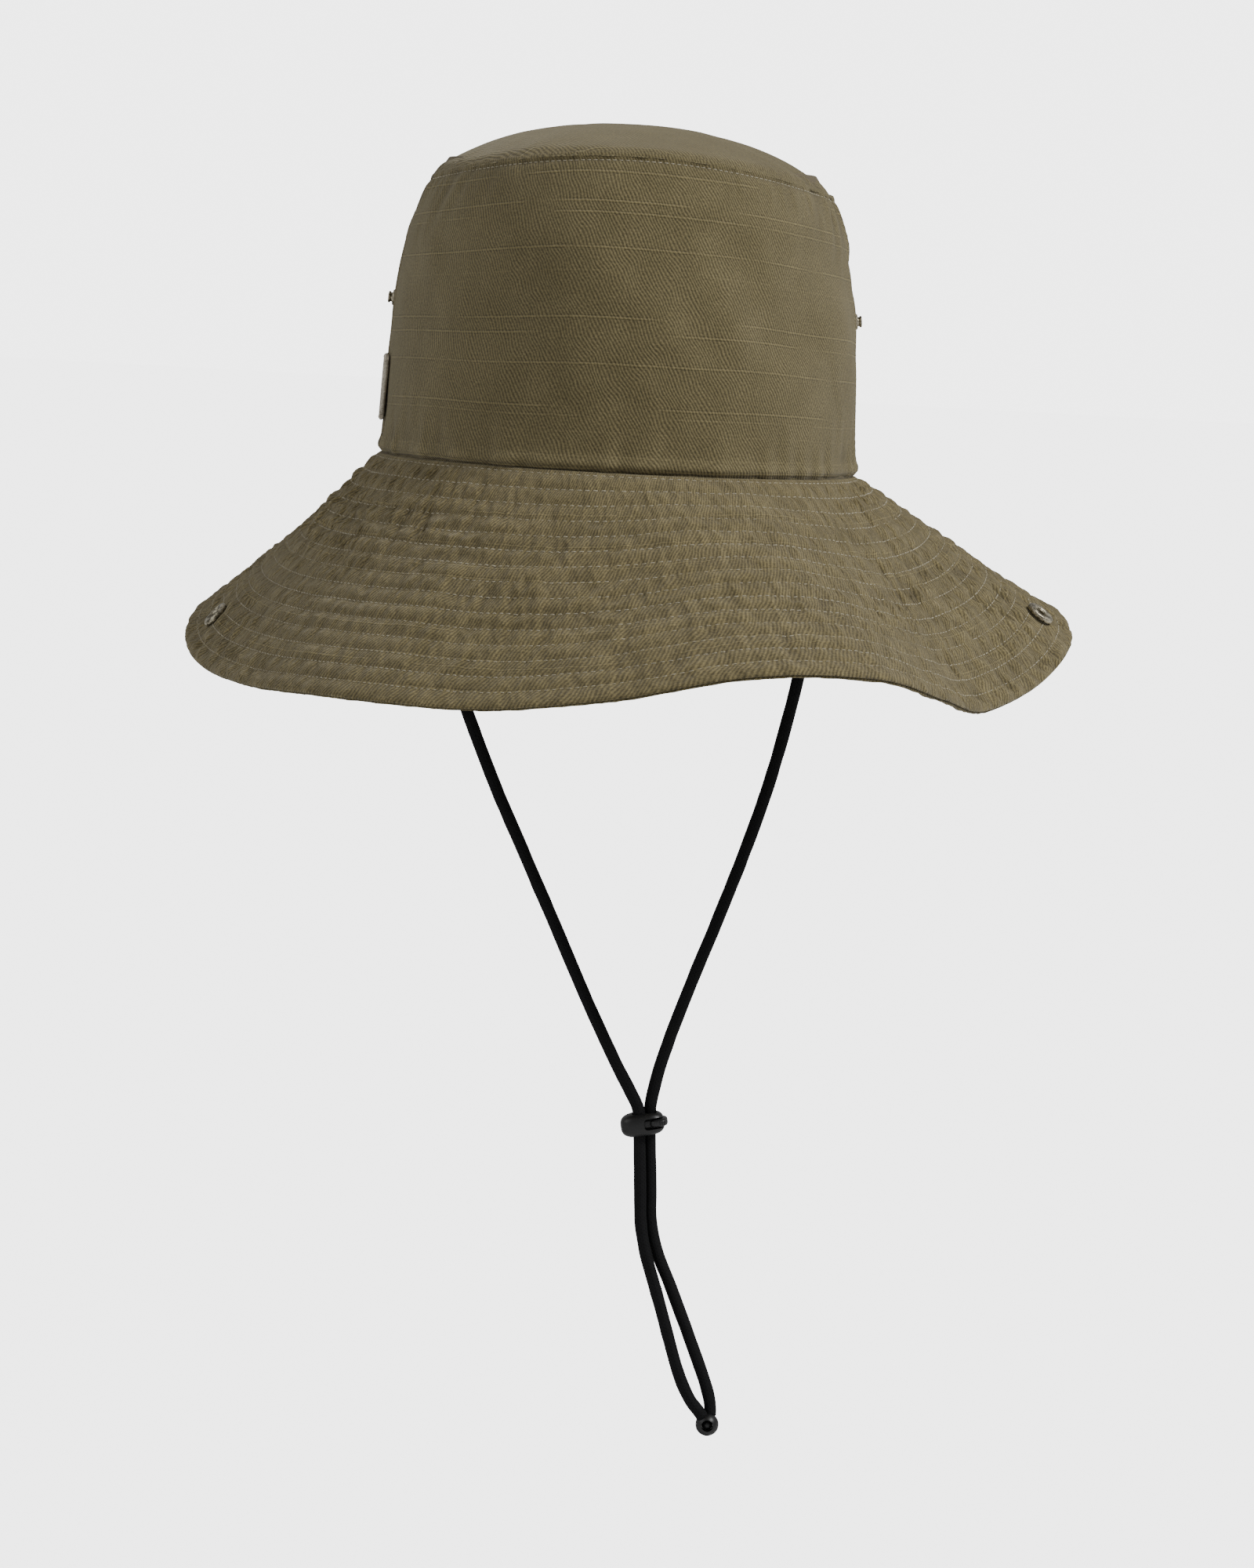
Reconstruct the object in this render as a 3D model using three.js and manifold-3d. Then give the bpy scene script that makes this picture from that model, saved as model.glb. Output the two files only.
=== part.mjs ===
// Wide-brimmed boonie hat with snap-up brim sides and a braided chin cord.
// Millimetres. +Z is up and -Y is the front. Left (-X) and right (+X) are as seen from the front.
// The origin is the centre of the head opening, in the plane of the crown's base seam.
import * as THREE from "three";
import { RoundedBoxGeometry } from "three/addons/geometries/RoundedBoxGeometry.js";
import { mergeVertices } from "three/addons/utils/BufferGeometryUtils.js";
import Module from "manifold-3d";

const wasm = await Module();
wasm.setup();

// Clearances
const touchGap = 0.3; // between pieces that rest on each other
const layerGap = 0.2; // between the layers of the brim
const seamGap = 0.4; // between two panels that meet at a seam
const liningGap = 0.5; // crown cloth to the band and tapes inside it

// Crown, measured on the outside of the cloth
const openingHalfWidth = 84;
const openingHalfDepth = 101.5;
const crownSideHeight = 98; // base seam to tip seam, at the sides
const tipSeamRise = 9.5; // how much higher the tip seam is at the front and back
const crownPeak = 118.3;
const wallLean = 3.5; // how far the wall leans in over its height
const shoulderInset = 10; // how far the shoulder curves in, close under the tip
const shoulderSharpness = 5;
const tipRoundness = 2.6;
const crownCloth = 1;

// Sweatband and the tapes that cover the crown's inner seams
const sweatbandHeight = 32;
const sweatbandThickness = 1.8;
const sweatbandStart = 1;
const tapeThickness = 0.6;
const sideTapeWidth = 12;
const tipTapeHeight = 10;
const tipTapeDrop = 3; // tip seam to the tape's upper edge

// Brim
const brimWidth = 98;
const brimDrop = 0.6; // the brim's seam edge sits this far below the crown's edge
const outerLayer = 0.7; // each of the two cloth layers
const interlining = 0.3;
// How steeply the brim hangs, in degrees, at even steps around the hat from +X by way of the back
const brimHang = [
  34, 29.5, 27, 27, 29, 31, 33, 33, 33, 34, 37, 43,
  48.5, 52, 53.5, 53.5, 53.5, 52.5, 47, 39, 38.5, 45, 50, 44,
];

// Side folds and snaps
const rightFoldDistance = 17.3; // base seam to fold line, along the brim
const leftFoldDistance = 15.8;
const foldGap = 0.6;
const foldAxisLift = 0.4; // fold axis above the brim's upper face
const snapGap = 0.6; // brim cloth, which curves a little under them, to the snap rings
const studHeight = 54;
const studFlangeRadius = 2.8;
const studHeadRadius = 2.1;
const studNeckRadius = 1.6;
const studLength = 2.3;
const studFlangeThickness = 0.7;
const studHeadThickness = 1;
const snapBackRadius = 4.4;
const snapBackHole = 1;
const snapBackThickness = 0.9;
const socketRadius = 5.2;
const socketClearance = 0.25; // stud head to socket bore
const socketThickness = 1.7;

// Patch on the crown's left side, under the stud
const patchBottom = 11;
const patchHeight = 23;
const patchWidth = 34;
const patchThickness = 1.7;

// Cord and its anchors
const cordDiameter = 4.2;
const cordSides = 8;
const cordStep = 2.2; // length of one tube step, in cord diameters
const anchorClearance = 0.6; // anchor tab to the band it hangs behind
const anchorFoot = -8; // lower end of each anchor tab
const anchorHeight = 21;
const anchorWidth = 11;
const anchorThickness = 2.4;

// Cord lock, in its own frame: +X towards the button
const lockCentre = new THREE.Vector3(22.3, 0, -236.4);
const lockTilt = 11; // degrees, button end up
const lockLength = 14;
const lockDepth = 11.8;
const lockHeight = 7.7;
const lockRounding = 3.1;
const lockBodyShift = -1.6; // body centre from the lock centre
const lockWall = 0.9;
const plungerDepth = 9.4;
const plungerHeight = 3.4;
const plungerRounding = 1.2;
const plungerRim = 1;
const plungerClearance = 0.25;
const plungerStroke = 1.2;
const buttonLength = 3.1;
const strandLean = 4; // degrees, how far the two strands lean where they pass through the lock
const strandHalfSpacing = 1.9; // the two strands inside the lock, along it
const strandHalfOffset = 1.3; // and across it
const strandClearance = 0.45; // cord to the lock's bore
const springWire = 0.3;
const springRoom = 0.15; // plunger to spring
const springRadius = 1.2;
const springLength = 1.6;
const springTurns = 2.5;

// End bead
const beadCentre = new THREE.Vector3(50.7, 0, -344.6);
const beadRadius = 4.2;
const beadHoleRadius = 1.9;

const cloth = { color: 0x6a6046, roughness: 0.9, metalness: 0 };
const tapeCloth = { color: 0x5c5440, roughness: 0.9, metalness: 0 };
const patchCloth = { color: 0xb7b0a1, roughness: 0.85, metalness: 0 };
const snapMetal = { color: 0x8d8672, roughness: 0.4, metalness: 0.9 };
const braid = { color: 0x1a1a1b, roughness: 0.8, metalness: 0 };
const lockPlastic = { color: 0x151516, roughness: 0.35, metalness: 0 };
const springSteel = { color: 0x9a9a9a, roughness: 0.3, metalness: 1 };

const hat = new THREE.Group();

function addPiece(name, geometry, look, parent = hat) {
  const piece = new THREE.Mesh(geometry, new THREE.MeshStandardMaterial(look));
  piece.name = name;
  parent.add(piece);
  return piece;
}

// ---- solids ----

function toManifold(geometry) {
  const bare = geometry.clone();
  for (const attribute of Object.keys(bare.attributes)) {
    if (attribute !== "position") bare.deleteAttribute(attribute);
  }
  const merged = mergeVertices(bare, 1e-4);
  const vertProperties = merged.attributes.position.array;
  const triVerts = new Uint32Array(merged.index.array);
  return new wasm.Manifold(new wasm.Mesh({ numProp: 3, vertProperties, triVerts }));
}

function toGeometry(solid) {
  const mesh = solid.getMesh();
  const geometry = new THREE.BufferGeometry();
  geometry.setAttribute("position", new THREE.BufferAttribute(mesh.vertProperties, 3));
  geometry.setIndex(new THREE.BufferAttribute(mesh.triVerts, 1));
  return geometry;
}

function cut(geometry, ...tools) {
  const solid = tools.reduce((left, tool) => left.subtract(toManifold(tool)), toManifold(geometry));
  return toGeometry(solid);
}

function keepInside(geometry, tool) {
  return toGeometry(toManifold(geometry).intersect(toManifold(tool)));
}

// Signed volume of an indexed mesh, positive when its faces point out
function signedVolume(points, faces) {
  return faces.reduce((sum, [a, b, c]) => {
    const normal = new THREE.Vector3().crossVectors(points[b], points[c]);
    return sum + points[a].dot(normal) / 6;
  }, 0);
}

// A closed solid between two faces, each a function of (u, v) from 0 to 1.
// A sheet that is round joins its last column to its first one.
function sheetSolid({ outer, inner, columns, rows, round = false }) {
  const points = [];
  const pointsInRow = round ? columns : columns + 1;
  const index = (side, column, row) =>
    side * pointsInRow * (rows + 1) + row * pointsInRow + (column % pointsInRow);
  for (const face of [outer, inner]) {
    for (let row = 0; row <= rows; row++) {
      for (let column = 0; column < pointsInRow; column++) {
        points.push(face(column / columns, row / rows));
      }
    }
  }
  const faces = [];
  const addQuad = (a, b, c, d) => faces.push([a, b, c], [a, c, d]);
  for (let column = 0; column < columns; column++) {
    for (let row = 0; row < rows; row++) {
      addQuad(index(0, column, row), index(0, column + 1, row),
        index(0, column + 1, row + 1), index(0, column, row + 1));
      addQuad(index(1, column, row), index(1, column, row + 1),
        index(1, column + 1, row + 1), index(1, column + 1, row));
    }
    addQuad(index(0, column, 0), index(1, column, 0), index(1, column + 1, 0), index(0, column + 1, 0));
    addQuad(index(0, column, rows), index(0, column + 1, rows),
      index(1, column + 1, rows), index(1, column, rows));
  }
  for (let row = 0; row < rows && !round; row++) {
    addQuad(index(0, 0, row), index(0, 0, row + 1), index(1, 0, row + 1), index(1, 0, row));
    addQuad(index(0, columns, row), index(1, columns, row),
      index(1, columns, row + 1), index(0, columns, row + 1));
  }
  if (signedVolume(points, faces) < 0) faces.forEach((face) => face.reverse());
  return weldedGeometry(points, faces);
}

function weldedGeometry(points, faces) {
  const geometry = new THREE.BufferGeometry().setFromPoints(points);
  geometry.setIndex(faces.flat());
  const merged = mergeVertices(geometry, 1e-4);
  const corners = Array.from(merged.index.array);
  const kept = [];
  for (let i = 0; i < corners.length; i += 3) {
    const [a, b, c] = corners.slice(i, i + 3);
    if (a !== b && b !== c && c !== a) kept.push(a, b, c);
  }
  merged.setIndex(kept);
  return merged;
}

// A ring or disc turned around +Z from a closed profile of [radius, height] corners
function turned(profile, segments = 16) {
  const closed = [...profile, profile[0]];
  const corners = closed.map(([radius, height]) => new THREE.Vector2(radius, height));
  return new THREE.LatheGeometry(corners, segments).rotateX(Math.PI / 2);
}

// ---- the hat's curves ----

const wallInset = (share) => wallLean * share + shoulderInset * share ** shoulderSharpness;

const tipSeamHeight = (angle) => crownSideHeight + tipSeamRise * Math.sin(angle) ** 2;

// A point on the crown wall, `depth` inside the outer face of the cloth
function wallPoint(angle, share, depth = 0) {
  const inset = wallInset(share) + depth;
  return new THREE.Vector3(
    (openingHalfWidth - inset) * Math.cos(angle),
    (openingHalfDepth - inset) * Math.sin(angle),
    tipSeamHeight(angle) * share,
  );
}

function outward(angle) {
  return new THREE.Vector3(
    Math.cos(angle) / openingHalfWidth,
    Math.sin(angle) / openingHalfDepth,
    0,
  ).normalize();
}

// Hang of the brim at any angle: a smooth closed curve through the even steps
function hangAt(angle) {
  const count = brimHang.length;
  const turn = ((angle / (2 * Math.PI)) % 1 + 1) % 1;
  const step = Math.floor(turn * count);
  const along = turn * count - step;
  const [p0, p1, p2, p3] = [-1, 0, 1, 2].map((shift) => brimHang[(step + shift + count) % count]);
  const bend = 2 * p0 - 5 * p1 + 4 * p2 - p3;
  const twist = 3 * (p1 - p2) + p3 - p0;
  const degrees = p1 + 0.5 * along * (p2 - p0 + along * (bend + along * twist));
  return THREE.MathUtils.degToRad(degrees);
}

// Directions along the brim, away from the crown, and square to its upper face
function brimFrame(angle) {
  const away = outward(angle);
  const hang = hangAt(angle);
  const up = new THREE.Vector3(0, 0, 1);
  const along = away.clone().multiplyScalar(Math.cos(hang)).addScaledVector(up, -Math.sin(hang));
  const normal = away.clone().multiplyScalar(Math.sin(hang)).addScaledVector(up, Math.cos(hang));
  return { along, normal };
}

// A point of the brim, `distance` from its seam and `depth` under its upper face
function brimPoint(angle, distance, depth = 0) {
  const { along, normal } = brimFrame(angle);
  const seam = new THREE.Vector3(
    openingHalfWidth * Math.cos(angle),
    openingHalfDepth * Math.sin(angle),
    -brimDrop,
  ).addScaledVector(outward(angle), touchGap);
  return seam.addScaledVector(along, distance).addScaledVector(normal, -depth);
}

// Outward normal of the brim's upper face, where the brim also twists around the hat
function brimNormal(angle, distance) {
  const step = 0.01;
  const around = brimPoint(angle + step, distance).sub(brimPoint(angle - step, distance));
  return new THREE.Vector3().crossVectors(brimFrame(angle).along, around).normalize();
}

const fullTurn = 2 * Math.PI;
const sides = [
  { side: "right", sign: 1, angle: 0, foldDistance: rightFoldDistance },
  { side: "left", sign: -1, angle: Math.PI, foldDistance: leftFoldDistance },
];
for (const place of sides) {
  place.foldAxis = brimPoint(place.angle, place.foldDistance).add(new THREE.Vector3(0, 0, foldAxisLift));
}

// ---- crown ----

function crownPanel(startAngle, endAngle) {
  const gapAngle = seamGap / 2 / openingHalfWidth;
  const angleAt = (u) => THREE.MathUtils.lerp(startAngle + gapAngle, endAngle - gapAngle, u);
  const shareAt = (v) => Math.sin((v * Math.PI) / 2); // rows lie closer together on the shoulder
  return sheetSolid({
    outer: (u, v) => wallPoint(angleAt(u), shareAt(v)),
    inner: (u, v) => wallPoint(angleAt(u), shareAt(v), crownCloth),
    columns: 24,
    rows: 9,
  });
}

// The tip is a low dome that starts on the wall's upper edge
function tipPoint(angle, share, lift) {
  const rim = wallPoint(angle, 1);
  const doming = 1 - share ** tipRoundness;
  const height = THREE.MathUtils.lerp(rim.z, crownPeak - crownCloth, doming) + touchGap + lift;
  return new THREE.Vector3(rim.x * share, rim.y * share, height);
}

function crownTip() {
  return sheetSolid({
    outer: (u, v) => tipPoint(fullTurn * u, v, crownCloth),
    inner: (u, v) => tipPoint(fullTurn * u, v, 0),
    columns: 40,
    rows: 5,
    round: true,
  });
}

function wallLining(fromHeight, toHeight, thickness, startAngle, endAngle, columns, rows, round) {
  const angleAt = (u) => THREE.MathUtils.lerp(startAngle, endAngle, u);
  const shareAt = (v) => THREE.MathUtils.lerp(fromHeight, toHeight, v) / crownSideHeight;
  const clear = crownCloth + liningGap;
  return sheetSolid({
    outer: (u, v) => wallPoint(angleAt(u), shareAt(v), clear),
    inner: (u, v) => wallPoint(angleAt(u), shareAt(v), clear + thickness),
    columns,
    rows,
    round,
  });
}

function addCrown() {
  addPiece("crown_front_panel", crownPanel(Math.PI, fullTurn), cloth);
  addPiece("crown_back_panel", crownPanel(0, Math.PI), cloth);
  addPiece("crown_tip", crownTip(), cloth);
  const bandTop = sweatbandStart + sweatbandHeight;
  const band = wallLining(sweatbandStart, bandTop, sweatbandThickness, 0, fullTurn, 48, 3, true);
  addPiece("sweatband", band, tapeCloth);
  const tipTapeTop = crownSideHeight - tipTapeDrop;
  const tipTapeBottom = tipTapeTop - tipTapeHeight;
  const tipTape = wallLining(tipTapeBottom, tipTapeTop, tapeThickness, 0, fullTurn, 48, 2, true);
  addPiece("tip_seam_tape", tipTape, tapeCloth);
  for (const { side, angle } of sides) {
    const halfAngle = sideTapeWidth / 2 / openingHalfDepth;
    const tape = wallLining(bandTop + seamGap, tipTapeBottom - seamGap, tapeThickness,
      angle - halfAngle, angle + halfAngle, 2, 6, false);
    addPiece(`${side}_side_seam_tape`, tape, tapeCloth);
  }
}

// ---- brim ----

function brimRing(upperDepth, lowerDepth) {
  return sheetSolid({
    outer: (u, v) => brimPoint(fullTurn * u, brimWidth * v, upperDepth),
    inner: (u, v) => brimPoint(fullTurn * u, brimWidth * v, lowerDepth),
    columns: 60,
    rows: 3,
    round: true,
  });
}

// A block that holds everything between two planes square to X
function slab(fromX, toX) {
  const reach = 4 * (openingHalfDepth + brimWidth);
  return new THREE.BoxGeometry(toX - fromX, reach, reach).translate((fromX + toX) / 2, 0, 0);
}

function addBrimLayer(name, upperDepth, lowerDepth, look) {
  const ring = brimRing(upperDepth, lowerDepth);
  const [right, left] = sides;
  const reach = 2 * (openingHalfWidth + brimWidth);
  const clear = foldGap / 2;
  const centre = slab(left.foldAxis.x + clear, right.foldAxis.x - clear);
  addPiece(`${name}_centre`, keepInside(ring, centre), look);
  addPiece(`${name}_right_side`, keepInside(ring, slab(right.foldAxis.x + clear, reach)), look);
  addPiece(`${name}_left_side`, keepInside(ring, slab(-reach, left.foldAxis.x - clear)), look);
}

const interliningTop = outerLayer + layerGap;
const underLayerTop = interliningTop + interlining + layerGap;
const brimThickness = underLayerTop + outerLayer;

function addBrim() {
  addBrimLayer("brim_upper", 0, outerLayer, cloth);
  addBrimLayer("brim_interlining", interliningTop, interliningTop + interlining, tapeCloth);
  addBrimLayer("brim_under", underLayerTop, brimThickness, cloth);
}

// ---- snaps ----

// Turns a piece made around +Z so that its axis points along `axis`, and puts it at `place`
function stand(geometry, place, axis) {
  const turn = new THREE.Quaternion().setFromUnitVectors(new THREE.Vector3(0, 0, 1), axis);
  return geometry.applyQuaternion(turn).translate(place.x, place.y, place.z);
}

// Outer point and outward direction of the wall at a height, at the hat's side
function wallSide({ sign, angle }, height) {
  const share = height / crownSideHeight;
  const point = wallPoint(angle, share);
  const shoulderSlope = shoulderInset * shoulderSharpness * share ** (shoulderSharpness - 1);
  const slope = (wallLean + shoulderSlope) / crownSideHeight;
  return { point, axis: new THREE.Vector3(sign, 0, slope).normalize() };
}

function studGeometry() {
  const headFoot = studLength - studHeadThickness;
  return turned([
    [0, 0],
    [studFlangeRadius, 0],
    [studFlangeRadius, studFlangeThickness],
    [studNeckRadius, studFlangeThickness],
    [studNeckRadius, headFoot],
    [studHeadRadius, headFoot + studHeadThickness / 3],
    [studHeadRadius, studLength - studHeadThickness / 3],
    [studNeckRadius, studLength],
    [0, studLength],
  ]);
}

function backRing() {
  return turned([
    [snapBackHole, 0],
    [snapBackHole, -snapBackThickness],
    [snapBackRadius - snapBackThickness / 2, -snapBackThickness],
    [snapBackRadius, -snapBackThickness / 2],
    [snapBackRadius, 0],
  ]);
}

function socketRing() {
  const bore = studHeadRadius + socketClearance;
  const lip = socketThickness / 3;
  return turned([
    [bore, 0],
    [socketRadius, 0],
    [socketRadius, socketThickness - lip],
    [socketRadius - lip, socketThickness],
    [bore + lip, socketThickness],
    [bore, socketThickness - lip],
  ], 20);
}

// The socket sits where the folded brim side brings it square onto the stud
function socketDistance(place) {
  const stud = wallSide(place, studHeight);
  const standOff = touchGap + studLength + touchGap + socketThickness + snapGap;
  const meeting = stud.point.clone().addScaledVector(stud.axis, standOff);
  return place.foldDistance + meeting.distanceTo(place.foldAxis);
}

function addSnaps() {
  for (const place of sides) {
    const stud = wallSide(place, studHeight);
    const onWall = stud.point.clone().addScaledVector(stud.axis, touchGap);
    addPiece(`${place.side}_snap_stud`, stand(studGeometry(), onWall, stud.axis), snapMetal);
    const insideTape = crownCloth + liningGap + tapeThickness + liningGap;
    const behindWall = stud.point.clone().addScaledVector(stud.axis, -insideTape);
    addPiece(`${place.side}_stud_back`, stand(backRing(), behindWall, stud.axis), snapMetal);
    const distance = socketDistance(place);
    const normal = brimNormal(place.angle, distance);
    const onBrim = brimPoint(place.angle, distance).addScaledVector(normal, snapGap);
    addPiece(`${place.side}_snap_socket`, stand(socketRing(), onBrim, normal), snapMetal);
    const underBrim = brimPoint(place.angle, distance).addScaledVector(normal, -brimThickness - snapGap);
    addPiece(`${place.side}_socket_back`, stand(backRing(), underBrim, normal), snapMetal);
  }
}

// ---- patch ----

function addPatch() {
  const halfAngle = patchWidth / 2 / openingHalfDepth;
  const angleAt = (u) => THREE.MathUtils.lerp(Math.PI - halfAngle, Math.PI + halfAngle, u);
  const shareAt = (v) => (patchBottom + patchHeight * v) / crownSideHeight;
  const patch = sheetSolid({
    outer: (u, v) => wallPoint(angleAt(u), shareAt(v), -touchGap - patchThickness),
    inner: (u, v) => wallPoint(angleAt(u), shareAt(v), -touchGap),
    columns: 4,
    rows: 3,
  });
  addPiece("left_side_patch", patch, patchCloth);
}

// ---- chin cord ----

// Routes from the anchors down to the bead, as [across, forward or back, up]
const leftStrandRoute = [
  [-79, 0, -10], [-76.6, 0, -20], [-70.6, 0, -38], [-61.6, 0, -60], [-49.4, 0, -90], [-37.2, 0, -118],
  [-25, 0, -143], [-13.2, -0.2, -167], [-1.6, -0.6, -191], [9.8, -1.1, -213], [16.4, -1.3, -224.5],
  [19.9, -1.3, -231.5], [20.5, -1.3, -238], [21.3, -1.3, -249.5], [22.1, -1.3, -261], [22.9, -1.3, -272.5],
  [25.4, -1.4, -284],
  [29.4, -1.5, -296], [34.6, -1.5, -312], [39.2, -1.5, -326], [43.6, -1.5, -335], [47.2, -1.4, -339.6],
];
const rightStrandRoute = [
  [79, 0, -10], [77.6, 0, -22], [75, 0, -38], [71.4, 0, -58], [66.6, 0, -84], [60.2, 0, -112],
  [52.2, 0, -139], [43.8, 0.2, -164], [35, 0.6, -189], [27.8, 1.1, -212], [25, 1.3, -224.5],
  [24.1, 1.3, -231.5], [24.3, 1.3, -238], [25.1, 1.3, -249.5], [25.9, 1.3, -261], [26.7, 1.3, -272.5],
  [29.8, 1.4, -284],
  [35.2, 1.5, -296], [42, 1.5, -312], [47.4, 1.5, -325], [50.6, 1.5, -334], [51.6, 1.4, -339.6],
];

function cordTube(points) {
  const path = new THREE.CatmullRomCurve3(points.map((point) => new THREE.Vector3(...point)));
  const section = new THREE.Shape();
  for (let corner = 0; corner < cordSides; corner++) {
    const angle = (fullTurn * corner) / cordSides;
    const x = (cordDiameter / 2) * Math.cos(angle);
    const y = (cordDiameter / 2) * Math.sin(angle);
    if (corner === 0) section.moveTo(x, y);
    else section.lineTo(x, y);
  }
  section.closePath();
  const steps = Math.round(path.getLength() / (cordDiameter * cordStep));
  return new THREE.ExtrudeGeometry(section, { steps, extrudePath: path, curveSegments: 1 });
}

function addCord() {
  const topInset = wallInset((anchorFoot + anchorHeight) / crownSideHeight);
  const bandFace = openingHalfWidth - topInset - crownCloth - liningGap - sweatbandThickness;
  const tabCentre = bandFace - anchorClearance - anchorThickness / 2;
  for (const { side, sign } of sides) {
    const tab = new THREE.BoxGeometry(anchorThickness, anchorWidth, anchorHeight)
      .translate(sign * tabCentre, 0, anchorFoot + anchorHeight / 2);
    addPiece(`${side}_cord_anchor`, tab, braid);
  }
  addPiece("chin_cord_left", cordTube(leftStrandRoute), braid);
  addPiece("chin_cord_right", cordTube(rightStrandRoute), braid);
}

// ---- cord lock ----

function box(fromX, toX, depth, height) {
  return new THREE.BoxGeometry(toX - fromX, depth, height).translate((fromX + toX) / 2, 0, 0);
}

const lockBoreHalfLength = strandHalfSpacing + cordDiameter / 2 + strandClearance;
const lockBoreHalfDepth = strandHalfOffset + cordDiameter / 2 + strandClearance;

// Hole for both strands, along the strands rather than square to the leaning lock
function strandHole(extraLength) {
  return box(-lockBoreHalfLength, lockBoreHalfLength + extraLength, 2 * lockBoreHalfDepth, 3 * lockHeight)
    .rotateY(THREE.MathUtils.degToRad(lockTilt - strandLean));
}

function addCordLock() {
  const lock = new THREE.Group();
  lock.position.copy(lockCentre);
  lock.rotation.y = -THREE.MathUtils.degToRad(lockTilt);
  hat.add(lock);
  const bodyStart = lockBodyShift - lockLength / 2;
  const bodyEnd = lockBodyShift + lockLength / 2;
  const channelStart = bodyStart + lockWall;
  const channel = box(channelStart, bodyEnd + lockWall, plungerDepth + 2 * plungerClearance,
    plungerHeight + 2 * plungerClearance);
  const shell = new RoundedBoxGeometry(lockLength, lockDepth, lockHeight, 3, lockRounding)
    .translate(lockBodyShift, 0, 0);
  addPiece("cord_lock_body", cut(shell, channel, strandHole(0)), lockPlastic, lock);
  const plungerStart = -lockBoreHalfLength - plungerRim;
  const plungerEnd = bodyEnd + buttonLength;
  const plungerLength = plungerEnd - plungerStart;
  const plunger = new RoundedBoxGeometry(plungerLength, plungerDepth, plungerHeight, 2, plungerRounding)
    .translate((plungerStart + plungerEnd) / 2, 0, 0);
  addPiece("cord_lock_plunger", cut(plunger, strandHole(plungerStroke)), lockPlastic, lock);
  const springEnd = plungerStart - springRoom;
  addPiece("cord_lock_spring", springCoil(springEnd - springLength, springEnd), springSteel, lock);
}

class Helix extends THREE.Curve {
  constructor(fromX, toX) {
    super();
    this.fromX = fromX;
    this.toX = toX;
  }

  getPoint(share, target = new THREE.Vector3()) {
    const angle = fullTurn * springTurns * share;
    const x = THREE.MathUtils.lerp(this.fromX, this.toX, share);
    return target.set(x, springRadius * Math.cos(angle), springRadius * Math.sin(angle));
  }
}

function springCoil(fromX, toX) {
  const wire = new THREE.Shape().absarc(0, 0, springWire / 2, 0, fullTurn, false);
  const path = new Helix(fromX + springWire / 2, toX - springWire / 2);
  return new THREE.ExtrudeGeometry(wire, { steps: 30, extrudePath: path, curveSegments: 6 });
}

// ---- bead ----

function addBead() {
  const ball = new THREE.SphereGeometry(beadRadius, 16, 12);
  const hole = new THREE.CylinderGeometry(beadHoleRadius, beadHoleRadius, 3 * beadRadius, 12);
  const geometry = cut(ball, hole).translate(beadCentre.x, beadCentre.y, beadCentre.z);
  addPiece("cord_end_bead", geometry, lockPlastic);
}

addCrown();
addBrim();
addSnaps();
addPatch();
addCord();
addCordLock();
addBead();

export default hat;
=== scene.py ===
import math

import bpy
import numpy as np
from mathutils import Matrix, Vector


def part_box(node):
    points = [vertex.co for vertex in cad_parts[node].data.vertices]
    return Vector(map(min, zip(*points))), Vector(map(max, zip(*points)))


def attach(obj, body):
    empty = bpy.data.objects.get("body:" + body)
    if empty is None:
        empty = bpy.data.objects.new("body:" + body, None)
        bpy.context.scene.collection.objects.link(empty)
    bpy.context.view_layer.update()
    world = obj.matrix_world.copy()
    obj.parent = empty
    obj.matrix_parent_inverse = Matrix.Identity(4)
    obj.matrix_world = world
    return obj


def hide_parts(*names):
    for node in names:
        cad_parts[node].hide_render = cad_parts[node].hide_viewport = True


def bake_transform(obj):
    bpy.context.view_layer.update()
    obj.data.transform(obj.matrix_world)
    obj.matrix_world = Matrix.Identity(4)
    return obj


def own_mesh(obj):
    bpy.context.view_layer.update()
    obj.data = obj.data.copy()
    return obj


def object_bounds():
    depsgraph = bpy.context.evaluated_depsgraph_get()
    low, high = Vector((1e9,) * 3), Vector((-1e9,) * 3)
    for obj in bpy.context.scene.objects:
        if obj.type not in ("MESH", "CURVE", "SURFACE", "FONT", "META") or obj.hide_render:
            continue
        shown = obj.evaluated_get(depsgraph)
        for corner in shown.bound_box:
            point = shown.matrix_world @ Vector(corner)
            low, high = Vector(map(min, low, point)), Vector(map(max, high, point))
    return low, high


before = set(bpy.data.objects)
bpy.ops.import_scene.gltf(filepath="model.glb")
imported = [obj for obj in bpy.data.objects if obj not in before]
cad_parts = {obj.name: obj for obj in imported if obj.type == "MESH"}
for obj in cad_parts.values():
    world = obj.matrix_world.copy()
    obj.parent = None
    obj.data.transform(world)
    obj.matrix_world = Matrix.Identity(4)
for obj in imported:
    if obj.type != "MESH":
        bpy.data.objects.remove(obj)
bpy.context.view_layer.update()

mm = 0.001
fullTurn = 2 * math.pi

# camera: a low front view with a slight roll
camera = {
    "aim": Vector((0.0096, 0, -0.1146)),
    "azimuth": 0.75,
    "elevation": 5.04,
    "roll": 3.05,
    "distance": 2.088,
    "frameHeight": 0.56,        # what the frame takes in at the aim's distance
    "sensor": 24,
}


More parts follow.
